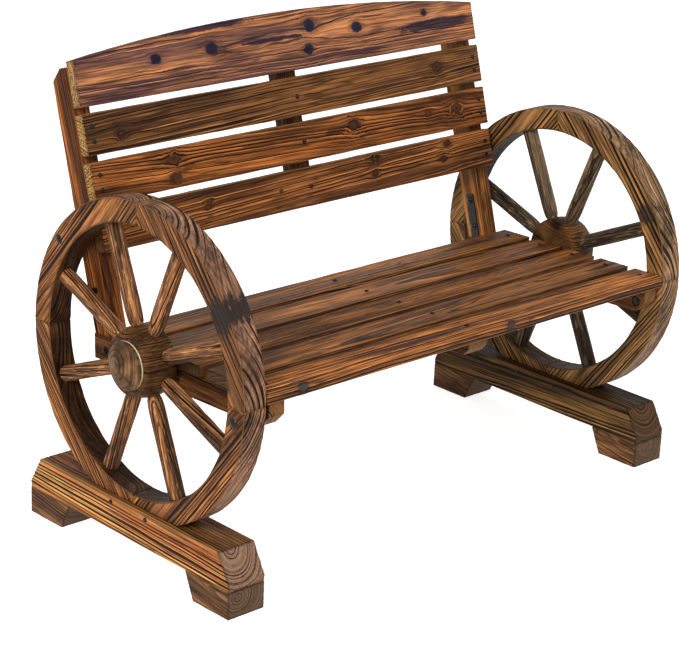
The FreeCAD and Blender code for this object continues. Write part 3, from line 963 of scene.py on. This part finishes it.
def grown(tree, name, inputs, place=Matrix()):
    """Object whose mesh is the tree's result, carried to its place."""
    piece = bpy.data.objects.new(name, bpy.data.meshes.new(name))
    scene.collection.objects.link(piece)
    modifier = piece.modifiers.new("shape", "NODES")
    modifier.node_group = tree.data
    for socket in tree.data.interface.items_tree:
        if socket.in_out == "INPUT" and socket.name in inputs:
            modifier[socket.identifier] = as_input(inputs[socket.name])
    graph = bpy.context.evaluated_depsgraph_get()
    evaluated = piece.evaluated_get(graph)
    mesh = bpy.data.meshes.new_from_object(evaluated, preserve_all_data_layers=True, depsgraph=graph)
    mesh.transform(place)
    mesh.set_sharp_from_angle(angle=sharp_angle)
    piece.modifiers.clear()
    piece.data = mesh
    return piece


def stand_for(piece, node):
    """Shows the piece in the place of a node, on the one body of the bench."""
    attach(piece, "root")
    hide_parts(node)


def wooden(tree, node, place, material, inputs, knots=None, cut=None):
    """Piece of wood that stands for a node."""
    inputs = inputs | {
        "Knots": knots or no_knots,
        "Cut": cut or no_knots,
        "Has cut": cut is not None,
        "Material": materials[material],
        "Seed": float(next(seeds)),
    }
    stand_for(grown(trees[tree], node + ".wood", inputs, place), node)


def steps_for(size, spacing):
    """Number of mesh steps along each side of a block."""
    return tuple(float(max(8, round(side / step))) for side, step in zip(size, spacing))


def board(node, place, slot, material, knots=None, cut=None, **values):
    """Board as large as its node is in a place of its own."""
    low, high = local_box(node, place)
    inputs = {"Corner": low, "Size": high - low, "Lines": steps_for(high - low, board_steps)}
    wooden("board", node, place, material, inputs | as_labels(values), knots, cut)


def turned(node, place, slot, material, points, around, cut=None, worn_and_highlight=(), **values):
    """Turned piece with an outline, and a number of mesh steps around."""
    inputs = {"Profile": profile(points, worn_and_highlight), "Points": len(points), "Around": around}
    wooden("turned", node, place, material, inputs | as_labels(values), cut=cut)


# Wheels
def felloes(wheel):
    """Four curved blocks, each with its own grain."""
    # Ring width, depth of the pith under the inner side, its place to the left of the middle, and its lean
    grains = ((8.4, 30, 34, 0.1), (6.0, 15, 40, -0.08), (6.6, 45, 30, 0.06), (6.0, 25, 44, -0.12))
    sweep = math.tau / felloe_count
    depth = wheel.radius - wheel.inner
    size = Vector((sweep * (wheel.inner + depth / 2), depth, wheel.width))
    for index, (ring_width, under, aside, lean) in enumerate(grains):
        angle = sweep * (index + 0.5)
        inputs = {
            "Sweep": sweep,
            "Inner radius": wheel.inner,
            "Size": size,
            "Lines": steps_for(size, felloe_steps),
            "Ring width": ring_width * MM,
            "Wander": 5 * MM,
            "Pith": (0.0, wheel.inner - under * MM, -aside * MM),
            "Lean": (0.0, lean, 0.03),
            "Relief": 0.5 * MM,
        }
        node = f"{wheel.side}_felloe_{index + 1}"
        place = axes(wheel.outward(angle + math.pi / 2), wheel.outward(angle), wheel.centre)
        wooden("felloe", node, place, f"{wheel.side}_rim", inputs)


def spoke_profile(wheel):
    """Neck in the hub, taper, body with a soft belly, and a tenon in the rim."""
    start = hub_belly_radius - neck_depth
    taper_end = hub_belly_radius + neck_length
    shoulder = math.sqrt(wheel.inner**2 - spoke_radius**2)
    end = wheel.inner + tenon_length
    taper_steps = 10
    points = [(start, 0.0)]
    points += evenly((start, neck_radius), (hub_belly_radius, neck_radius), steps=4)
    for step in range(taper_steps):
        share = step / taper_steps
        swell = math.sqrt(1 - (1 - share) ** 2)
        distance = hub_belly_radius + neck_length * share
        points.append((distance, neck_radius + (spoke_radius - neck_radius) * swell))
    points += evenly((taper_end, spoke_radius), (shoulder, spoke_radius), steps=36)
    points += [(shoulder, spoke_radius), (shoulder, tenon_radius), (end, tenon_radius), (end, 0.0)]
    return points


def spokes(wheel):
    """Spokes of one outline, each with its pith on another side."""
    points = spoke_profile(wheel)
    pith_distance = 40 * MM
    pith_step = 1.7
    for index, outward in enumerate(wheel.spoke_ways()):
        angle = index * pith_step
        turned(
            f"{wheel.side}_spoke_{index + 1}",
            axes(outward, ACROSS.cross(outward), wheel.centre),
            "spoke_wood",
            f"{wheel.side}_spoke",
            points,
            around=48,
            pith=(0.0, pith_distance * math.cos(angle), pith_distance * math.sin(angle)),
            lean=(0.0, 0.05 * math.sin(angle * 2), 0.04),
            ring_width=3.8 * MM,
            wander=5 * MM,
            relief=0.35 * MM,
            uneven=1.1 * MM,
        )


def hub_place(wheel, distance):
    """Place on the wheel's axis that looks away from the bench."""
    away = ACROSS * SIDES[wheel.side]
    inner = wheel.centre - away * wheel.width / 2
    return axes(away, UP, inner + away * distance)


def hub_length(wheel):
    low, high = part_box(f"{wheel.side}_hub")
    return high[0] - low[0]


def hub_profile(wheel):
    """Flat inner end with a chamfer, a belly that is widest between the rim's faces, and the outer end."""
    length = hub_length(wheel)
    middle = wheel.width / 2
    belly_steps = 24
    points = [(0.0, 0.0), (0.0, hub_core)]
    points += evenly((0.0, hub_inner_radius - hub_chamfer), (0.0, hub_core), steps=16)[::-1]
    for step in range(belly_steps + 1):
        distance = hub_chamfer + (length - hub_chamfer - hub_lip) * step / belly_steps
        end_radius = hub_outer_radius if distance > middle else hub_inner_radius
        reach = (length if distance > middle else 0) - middle
        drop = (hub_belly_radius - end_radius) * ((distance - middle) / reach) ** 2
        points.append((distance, hub_belly_radius - drop))
    points.append((length, hub_outer_radius - hub_lip))
    points += evenly((length, hub_core), (length, hub_outer_radius - hub_lip), steps=16)[::-1]
    points.append((length, 0.0))
    return points


def hub(wheel):
    """Barrel with a socket for every spoke."""
    place = hub_place(wheel, 0)
    rods = []
    for outward in wheel.spoke_ways():
        bottom = wheel.centre + outward * (hub_belly_radius - socket_depth)
        mouth = wheel.centre + outward * 2 * hub_belly_radius
        rods.append((bottom, mouth, neck_radius + socket_play, socket_steps))
    turned(
        f"{wheel.side}_hub",
        place,
        "hub_wood",
        "hub",
        hub_profile(wheel),
        around=96,
        cut=drums("sockets", rods, place),
        pith=(0.0, 400 * MM, 60 * MM),
        ring_width=4.6 * MM,
        wander=5 * MM,
        relief=0.3 * MM,
        uneven=0.8 * MM,
    )


def cap_profile(wheel):
    """Short straight edge under a dome that is part of a ball."""
    low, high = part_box(f"{wheel.side}_hub_cap")
    hub_end = wheel.centre.x + SIDES[wheel.side] * (hub_length(wheel) - wheel.width / 2)
    cap_end = high[0] if wheel.side == "right" else low[0]
    crown = abs(cap_end - hub_end)
    dome = crown - cap_edge
    ball = (cap_radius**2 + dome**2) / (2 * dome)
    half = math.asin(cap_radius / ball)
    dome_steps = 22
    points = [(0.0, 0.0)]
    points += evenly((0.0, cap_core), (0.0, cap_radius), steps=6)
    points += evenly((0.0, cap_radius), (cap_edge - cap_bevel, cap_radius), steps=4)
    for step in range(dome_steps + 1):
        angle = half * (1 - step / dome_steps)
        points.append((crown - ball * (1 - math.cos(angle)), ball * math.sin(angle)))
    return points


def hub_cap(wheel):
    """Domed cap, light along its edge: partly worn wood, partly a painted highlight."""
    turned(
        f"{wheel.side}_hub_cap",
        hub_place(wheel, hub_length(wheel)),
        "hub_wood",
        "cap",
        cap_profile(wheel),
        around=96,
        worn_and_highlight=cap_worn_and_highlight_points,
        pith=(0.0, 2 * MM, 10 * MM),
        ring_width=8 * MM,
        wander=5 * MM,
        relief=0.3 * MM,
        uneven=0.6 * MM,
    )


# Base
def base(wheel):
    """Grooved beam on two feet."""
    place = axes(BACK, UP)
    beam(wheel, place)
    for end in ("front", "rear"):
        foot(wheel, end, place)


def beam(wheel, place):
    """Beam with bevelled ends and a curved groove for the rim."""
    half = ACROSS * wheel.width / 2
    groove = [(wheel.centre - half, wheel.centre + half, wheel.radius + fit, groove_steps)]
    piths = {"left": (0, 115 * MM, -500 * MM), "right": (0, 105 * MM, 490 * MM)}
    leans = {"left": (0, 0.02, 0.0), "right": (0, -0.03, 0.0)}
    board(
        f"{wheel.side}_base_beam",
        place,
        "base_wood",
        f"{wheel.side}_beam",
        cut=drums("groove", groove, place),
        start_cut=beam_bevel,
        end_cut=beam_bevel,
        pith=piths[wheel.side],
        lean=leans[wheel.side],
        ring_width=6.5 * MM,
        relief=0.6 * MM,
    )


def foot(wheel, end, place):
    """Block with one slanted end, and recesses for its screws."""
    node = f"{wheel.side}_{end}_foot"
    rods = [
        (spot, spot + UP * foot_recess_depth, foot_recess_radius, foot_recess_steps)
        for spot in foot_screw_spots(node, end)
    ]
    slant = {"end_cut" if end == "front" else "start_cut": foot_slant}
    board(
        node,
        place,
        "base_wood",
        "foot",
        cut=drums("recesses", rods, place),
        pith=(0, 62 * MM, wheel.centre.x),
        lean=(0, 0.1, 0.05),
        ring_width=4.2 * MM,
        relief=0.35 * MM,
        **slant,
    )


def foot_screw_spots(node, end):
    """Where the two screws of a foot start, on its underside."""
    low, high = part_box(node)
    middle = (Vector(low) + Vector(high)) / 2
    step = foot_screw_spread * (-1 if end == "front" else 1)
    return [Vector((middle.x, middle.y, low[2])), Vector((middle.x, middle.y + step, low[2]))]


# Seat
def seat_slats():
    """Five slats, the front one with knots at its edge."""
    place = seat_place()
    # Place of the pith behind the front edge, its depth, its lean, and the ring width
    grains = (
        (30, 35, 0.03, 4.4),
        (25, 47, -0.02, 4.8),
        (-150, 59, 0.015, 4.0),
        (20, 71, 0.03, 4.6),
        (-40, 83, -0.025, 6.0),
    )
    for index, (behind, under, lean, ring_width) in enumerate(grains):
        node = f"seat_slat_{index + 1}"
        edge = local_box(node, place)[0].y
        knots = None
        if node == front_slat:
            knots = helper_points("knots", [(x, edge, front_knot_radius) for x in front_knots])
        board(
            node,
            place,
            "seat_wood",
            "front_seat" if node == front_slat else "seat",
            knots=knots,
            pith=(0, edge + behind * MM, -under * MM),
            lean=(0, lean, 0.01),
            ring_width=ring_width * MM,
            wander=7 * MM,
            relief=0.5 * MM,
        )


def seat_rails():
    """A side rail under each end of the slats, with a recess for a nut, and a flat centre rail."""
    place = axes(seat_rearward, ACROSS.cross(seat_rearward))
    for side, sign in SIDES.items():
        node = f"{side}_side_rail"
        low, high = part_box(node)
        inner = high[0] if side == "left" else low[0]
        bolt = rail_bolt_spot(side)
        mouth = Vector((inner - sign * MM, bolt.y, bolt.z))
        bottom = Vector((inner + sign * nut_recess_depth, bolt.y, bolt.z))
        recess = [(mouth, bottom, nut_recess_radius, nut_recess_steps)]
        board(
            node,
            place,
            "frame_wood",
            "rail",
            cut=drums("nut recess", recess, place),
            start_cut=rail_bevel,
            pith=(0, 0.3, sign * 0.5),
            lean=(0, 0.04, 0.0),
            ring_width=3.8 * MM,
        )
    board(
        "centre_rail",
        place,
        "frame_wood",
        "rail",
        start_cut=centre_rail_bevel,
        pith=(0, 0.3, 0.05),
        ring_width=3.8 * MM,
    )


def rail_bolt_spot(side):
    """Middle of the lower rim bolt, which is the front one of the two on its side."""
    points = corners("rim_bolts")
    near = points[(points[:, 0] * SIDES[side] > 0) & (points[:, 1] < 0)]
    return Vector((near.min(axis=0) + near.max(axis=0)) / 2)


# Back
def back_boards():
    """Three straight slats and an arched top rail, with knots."""
    place = back_place()
    # Place of the pith up the slope, its lean, and the ring width
    grains = {
        "back_slat_1": (-20, 0.02, 4.6),
        "back_slat_2": (190, -0.03, 5.4),
        "back_slat_3": (120, 0.025, 4.6),
        "top_rail": (300, 0.01, 3.6),
    }
    for node, (height, lean, ring_width) in grains.items():
        low, high = local_box(node, place)
        arch = (1.0, 1.0, 1.0)
        if node == "top_rail":
            arch = tuple(rise / (high.y - low.y) for rise in top_rail_arch)
        board(
            node,
            place,
            "back_wood",
            node,
            knots=helper_points("knots", [Vector(knot) * MM for knot in back_knots[node]]),
            arch=arch,
            pith=(0, height * MM, -back_pith_depth),
            lean=(0, lean, 0.01),
            ring_width=ring_width * MM,
            wander=7 * MM,
            relief=0.45 * MM,
        )


def back_frame():
    """Two posts and a flat middle stile."""
    for side in SIDES:
        board(
            f"{side}_back_post",
            axes(back_slope, back_rearward),
            "frame_wood",
            f"{side}_post",
            start_cut=post_foot,
            end_cut=post_bevel,
            pith=(0, 0.1, 0.5),
            lean=(0, 0.06, 0.0),
            ring_width=5 * MM,
            wander=5 * MM,
        )
    board(
        "middle_stile",
        axes(back_slope, -ACROSS),
        "frame_wood",
        "rail",
        pith=(0, 0.06, 0.0),
        ring_width=3.6 * MM,
    )


# Screws
def screw_profile():
    """Pan head on a short length of shank, from the inside out."""
    dome_steps = 8
    points = [(-shank_length, 0.0), (-shank_length, shank_radius), (0.0, head_radius)]
    for step in range(dome_steps + 1):
        angle = math.radians(90) * step / dome_steps
        rise = (head_height - head_rim) * math.sin(angle) ** 0.8
        points.append((head_rim + rise, head_radius * math.cos(angle) ** 0.7))
    return points


def cross_recess():
    """Two crossed bars that cut the recess of a head."""
    shape = bmesh.new()
    for turn in (0, 90):
        matrix = Matrix.Rotation(math.radians(turn), 4, "X")
        matrix = matrix @ Matrix.Translation((head_height + recess_lift, 0, 0))
        matrix = matrix @ Matrix.Diagonal((recess_depth, recess_length, recess_width, 1.0))
        made = bmesh.ops.create_cube(shape, size=1.0)
        bmesh.ops.transform(shape, matrix=matrix, verts=made["verts"])
    return helper_shape("recess", shape)


def screws(node, spots):
    """One piece for all the screws of a node: spots are pairs of a place and the way the head faces."""
    places = helper_points("places", [spot for spot, _ in spots])
    ways = places.data.attributes.new("way", "FLOAT_VECTOR", "POINT")
    for value, (_, way) in zip(ways.data, spots):
        value.vector = way
    points = screw_profile()
    inputs = {
        "Places": places,
        "Profile": profile(points),
        "Points": len(points),
        "Recess": cross_recess(),
        "Material": materials["screw"],
    }
    stand_for(grown(trees["screws"], node + ".heads", inputs), node)


def frame_columns(nodes, place):
    """Middles of some nodes across the bench."""
    boxes = [local_box(node, place) for node in nodes]
    return [(low.x + high.x) / 2 for low, high in boxes]


def seat_screw_spots():
    """On every slat, one above each rail."""
    place = seat_place()
    up = (place.to_3x3() @ UP).normalized()
    spots = []
    for index in range(seat_slat_count):
        low, high = local_box(f"seat_slat_{index + 1}", place)
        for x in frame_columns(("left_side_rail", "centre_rail", "right_side_rail"), place):
            spots.append((place @ Vector((x, (low.y + high.y) / 2, high.z)), up))
    return spots


def back_screw_spots():
    """On every slat, two at each post and one at the stile, and two from behind into the top rail."""
    place = back_place()
    front = (place.to_3x3() @ UP).normalized()
    uprights = ("left_back_post", "middle_stile", "right_back_post")
    left, middle, right = frame_columns(uprights, place)
    spots = []
    for index in range(back_slat_count):
        low, high = local_box(f"back_slat_{index + 1}", place)
        height = (low.y + high.y) / 2
        pairs = [(middle, height)]
        for x in (left, right):
            pairs += [(x, height - back_screw_spread), (x, height + back_screw_spread)]
        for x, y in pairs:
            spots.append((place @ Vector((x, y, 0)), front))
    base, _ = local_box("top_rail", place)
    for node, x in zip(uprights, (left, middle, right)):
        rear = local_box(node, place)[0].z
        for rise in top_rail_screw_rises:
            spots.append((place @ Vector((x, base.y + rise, rear)), -front))
    return spots


def base_screw_spots():
    """Two in each cheek of the groove, and two under each foot."""
    spots = []
    for wheel in wheels:
        low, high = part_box(f"{wheel.side}_base_beam")
        for x, way in ((low[0], -ACROSS), (high[0], ACROSS)):
            for step in (-wheel_screw_spread, wheel_screw_spread):
                spots.append((Vector((x, wheel.centre.y + step, wheel_screw_height)), way))
        for end in ("front", "rear"):
            for spot in foot_screw_spots(f"{wheel.side}_{end}_foot", end):
                spots.append((spot + UP * foot_recess_depth, -UP))
    return spots


# Finishes
def rim_mark(wheel, angle, length, strength, colour):
    """Mark across a rim, at an angle from the front."""
    centre = wheel.centre + wheel.outward(math.radians(angle)) * (wheel.inner + wheel.radius) / 2
    return centre, (rim_mark_reach, length / 2, length / 2), strength, colour


def back_mark(x, height, length, width, strength, colour):
    """Mark along a back board: place across the bench and up the slope, length and width."""
    centre = back_place() @ Vector((x, height, 0))
    return centre, (length / 2, back_mark_reach, width / 2), strength, colour


def knot_mark(x, height, radius):
    """Dark mark on a knot of the top rail."""
    length = 3.6 * radius * MM
    width = 3.2 * radius * MM
    return back_mark(x * MM, height * MM, length, width, 0.95, navy)


def seat_mark(x, back, drop, length, strength):
    """Grey mark at the front edge of the seat: place across the bench, back from the edge and below it."""
    place = seat_place()
    low, high = local_box(front_slat, place)
    centre = place @ Vector((x, low.y + back, high.z - drop))
    return centre, (length / 2, *seat_mark_reach), strength, slate


def wheel_finishes():
    """Rims, spokes, hubs and caps."""
    left, right = wheels
    return {
        # The rims carry a painted sheen on their outer side and painted highlights along their edges
        "left_rim": wood(
            "left rim", (220, 143, 80), (99, 64, 40), (30, 15, 7),
            ashen=0.3, depth=0.58, lines=2.0, tone=1.1, plain_sides=0.6, edge_wear=0.3,
            marks=[rim_mark(left, 34, 74 * MM, 0.95, ink), rim_mark(left, 356, 50 * MM, 0.6, char)],
        ),
        "right_rim": wood(
            "right rim", (222, 163, 99), (104, 76, 48), (31, 18, 8),
            ashen=0.2, depth=0.6, lines=1.9, tone=1.2, plain_sides=0.5, edge_wear=0.3,
            marks=[rim_mark(right, 28, 50 * MM, 0.8, ink)],
        ),
        "left_spoke": wood(
            "left spokes", (201, 137, 86), (95, 66, 47), (28, 15, 8),
            lines=1.7, bright_lines=0.6, fibres=2.2, flecks=0.7, scorch=0.4,
        ),
        "right_spoke": wood(
            "right spokes", (152, 126, 96), (60, 50, 41), (24, 18, 12),
            lines=1.3, bright_lines=0.6, fibres=2.2, flecks=0.6, scorch=0.35,
        ),
        "hub": wood(
            "hubs", (124, 82, 46), (54, 35, 19), (18, 9, 4), worn_and_highlight=(200, 160, 116),
            lines=1.0, bright_lines=0.5, fibres=2.2, scorch=0.35,
        ),
        # The light line along the cap's edge is partly worn wood and partly a painted highlight
        "cap": wood(
            "hub caps", (160, 117, 79), (76, 55, 39), (34, 21, 11), worn_and_highlight=cream,
            lines=0.9, bright_lines=0.4, edge_wear=3.0, edge_burn=0.0,
        ),
    }


def base_finishes():
    """Beams and feet."""
    return {
        # The beams carry painted shade on their tops and undersides
        "left_beam": wood(
            "left beam", (255, 190, 106), (188, 109, 58), (38, 15, 4), end=(166, 128, 102),
            late_share=0.4, lines=2.4, bright_lines=1.5, fibres=1.4, tone=1.2, side=UP, side_burn=0.6,
        ),
        "right_beam": wood(
            "right beam", (178, 130, 75), (64, 47, 29), (24, 14, 5), end=(100, 73, 47),
            late_share=0.42, lines=1.8, bright_lines=1.6, fibres=1.4, tone=1.4, speckle=0.2, scorch=0.38,
            side=UP, side_burn=0.6,
        ),
        "foot": wood("feet", (172, 120, 78), (84, 57, 38), (38, 22, 12), end=(122, 94, 72), lines=1.6),
    }


def seat_finishes():
    """Slats of the seat, and the rails of the frame."""
    return {
        # Painted shade on the slats' front and back faces in the gaps, and painted highlights along their
        # edges
        "seat": wood(
            "seat slats", (204, 130, 64), (88, 56, 33), (34, 17, 7), end=(90, 62, 38), sheen=waxed_sheen,
            lines=1.8, bright_lines=1.1, fibres=2.2, tone=1.2, scorch=0.36, edge_wear=0.6, side_burn=0.4,
        ),
        # Painted shade on the front and back faces of the front slat, and painted highlights along its edges
        "front_seat": wood(
            "front seat slat", (238, 147, 70), (75, 42, 21), (18, 7, 2), end=(110, 78, 46),
            sheen=waxed_sheen, lines=3.0, bright_lines=2.2, fibres=2.2, tone=1.4, edge_wear=0.7,
            plain_sides=0.0, side=BACK, side_burn=0.16,
            marks=[
                seat_mark(front_knots[0], 0.0, 7 * MM, 26 * MM, 0.85),
                seat_mark(front_knots[0] - 10 * MM, 9 * MM, 0.0, 22 * MM, 0.75),
                seat_mark(front_knots[1], 0.0, 8 * MM, 20 * MM, 0.6),
            ],
        ),
        "rail": wood("rails", (140, 88, 48), (72, 43, 24), (32, 15, 6), end=(150, 104, 60)),
    }


def back_finishes():
    """Posts, slats and the top rail."""
    return {
        "left_post": wood(
            "left post", (198, 114, 50), (86, 48, 22), (34, 15, 5), end=tan,
            late_share=0.5, lines=1.7, speckle=0.8,
        ),
        "right_post": wood(
            "right post", (214, 138, 74), (116, 72, 38), (44, 22, 9), end=tan,
            late_share=0.4, lines=1.4, speckle=0.8,
        ),
        # Its ends are darker than those of the slats above: painted shade behind the wheel
        "back_slat_1": wood(
            "lower back slat", (202, 127, 66), (92, 55, 32), (36, 18, 6), worn_and_highlight=honey, end=(120, 82, 48),
            lines=1.6, bright_lines=1.0, speckle=0.8,
        ),
        "back_slat_2": wood(
            "middle back slat", (206, 122, 58), (91, 53, 28), (38, 18, 6), worn_and_highlight=honey, end=tan,
            lines=1.6, bright_lines=1.0, speckle=0.9,
            marks=[back_mark(75 * MM, 118.5 * MM, 60 * MM, 12 * MM, 0.7, char)],
        ),
        "back_slat_3": wood(
            "upper back slat", (181, 119, 66), (77, 49, 31), (30, 16, 7), worn_and_highlight=honey, end=tan,
            lines=1.6, bright_lines=1.0, tone=1.3, speckle=0.9,
        ),
        "top_rail": wood(
            "top rail", (212, 138, 86), (106, 70, 60), (32, 19, 32), burnt=(50, 32, 46), knot=(12, 9, 28),
            worn_and_highlight=(120, 80, 64), end=tan, sheen=waxed_sheen, lines=1.7, bright_lines=1.2, fibres=2.2,
            tone=1.8, speckle=0.8, scorch=0.44, scorch_size=(4.0, 70.0, 70.0),
            marks=[
                back_mark(-40 * MM, 297 * MM, 200 * MM, 9 * MM, 0.95, navy),
                back_mark(360 * MM, 278 * MM, 220 * MM, 24 * MM, 0.85, navy),
                back_mark(-190 * MM, 338 * MM, 240 * MM, 20 * MM, 0.85, navy),
                back_mark(100 * MM, 345 * MM, 240 * MM, 14 * MM, 0.8, navy),
                *[knot_mark(*knot) for knot in back_knots["top_rail"]],
            ],
        ),
    }


def hardware_finishes():
    """Plates and bolts, screws, and dowels."""
    return {
        "steel": steel("black steel", (20, 21, 22), (48, 50, 50)),
        "screw": steel("screw steel", (20, 19, 18), (60, 58, 55)),
        "dowel": wood("dowels", (140, 88, 48), (84, 50, 27), (38, 19, 8), burnt=(38, 19, 8)),
    }


def dress_frame():
    """Finishes on the pieces that keep their own shape."""
    steel_nodes = ("left_plate", "right_plate", "rim_bolts", "plate_bolts", "nuts", "rim_spacers")
    finishes = {node: "steel" for node in steel_nodes} | {"felloe_dowels": "dowel"}
    for node, finish in finishes.items():
        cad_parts[node].data.materials.clear()
        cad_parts[node].data.materials.append(materials[finish])


# Floor, light and camera
def seen(t):
    """1 where the eye looks straight, by a reflection or through a clear piece."""
    path = t.node("ShaderNodeLightPath")
    camera_ray, glossy_ray, clear_ray = [
        Wire(t, path.outputs[f"Is {kind} Ray"]) for kind in ("Camera", "Glossy", "Transmission")
    ]
    return t.most(t.most(camera_ray, glossy_ray), clear_ray)


def floor():
    """White floor that keeps a faint shadow."""
    bpy.ops.mesh.primitive_plane_add(size=floor_size)
    plane = bpy.context.object
    plane.name = "floor"
    material, t, shader = new_material("white floor")
    shader.inputs["Base Color"].default_value = (0.9, 0.9, 0.9, 1)
    shader.inputs["Roughness"].default_value = 0.9
    glow = t.out(0, "ShaderNodeEmission", {"Color": (1.0, 1.0, 1.0, 1.0), "Strength": seen(t) * floor_glow})
    both = t.out(0, "ShaderNodeAddShader", {0: Wire(t, shader.outputs[0]), 1: glow})
    t.feed(material.node_tree.nodes["Material Output"].inputs["Surface"], both)
    plane.data.materials.append(material)


def light(name, place, size, power):
    """Square lamp that looks at the middle of the bench."""
    lamp = bpy.data.lights.new(name, "AREA")
    lamp.size = size
    lamp.energy = power
    thing = bpy.data.objects.new(name, lamp)
    thing.location = place
    thing.rotation_euler = (bench_middle - Vector(place)).to_track_quat("-Z", "Y").to_euler()
    scene.collection.objects.link(thing)


def surroundings():
    """White all round for the eye and for reflections, softer as a light."""
    world = bpy.data.worlds.new("studio")
    scene.world = world
    world.use_nodes = True
    t = Tree(world.node_tree)
    backdrop = world.node_tree.nodes["Background"]
    backdrop.inputs["Color"].default_value = (1, 1, 1, 1)
    t.feed(backdrop.inputs["Strength"], ambient + seen(t) * (1 - ambient))


def camera():
    """Camera at the photograph's place, turned as it was."""
    data = bpy.data.cameras.new("camera")
    data.sensor_width = sensor_width
    data.lens = focal_pixels * sensor_width / picture_width
    thing = bpy.data.objects.new("camera", data)
    level = Vector((math.sin(camera_azimuth), -math.cos(camera_azimuth), 0))
    back = (level + UP * math.tan(camera_elevation)).normalized()
    right = UP.cross(back).normalized()
    turn = Matrix((right, back.cross(right), back)).transposed().to_4x4()
    turn = turn @ Matrix.Rotation(camera_roll, 4, "Z")
    thing.matrix_world = Matrix.Translation(camera_place) @ turn
    scene.collection.objects.link(thing)
    scene.camera = thing


# The bench
helpers = []
seeds = itertools.count(1)
wheels = [Wheel(side) for side in SIDES]
grain_group = scorched_grain()
mark_group = flame_mark()
steel_group = metal_wear()
materials = wheel_finishes() | base_finishes() | seat_finishes() | back_finishes() | hardware_finishes()
block_group = rounded_block()
ring_group = growth_rings()
revolve_group = revolved()
trees = {
    "board": board_tree(block_group, ring_group),
    "felloe": felloe_tree(block_group, ring_group),
    "turned": turned_tree(revolve_group, ring_group),
    "screws": screw_tree(revolve_group),
}

# One knot far away, for wood without knots
no_knots = helper_points("knots", [(9.0, 9.0, 10 * MM)])
for wheel in wheels:
    felloes(wheel)
    spokes(wheel)
    hub(wheel)
    hub_cap(wheel)
    base(wheel)
seat_slats()
seat_rails()
back_boards()
back_frame()
screws("seat_screws", seat_screw_spots())
screws("back_screws", back_screw_spots())
screws("base_screws", base_screw_spots())
dress_frame()
for thing in helpers:
    bpy.data.objects.remove(thing)

# The studio
scene.view_settings.view_transform = "Standard"
floor()
light("key", place=(-3.4, -1.6, 2.9), size=1.6, power=120)
light("fill", place=(2.5, -3.0, 2.4), size=2.0, power=30)
surroundings()
camera()
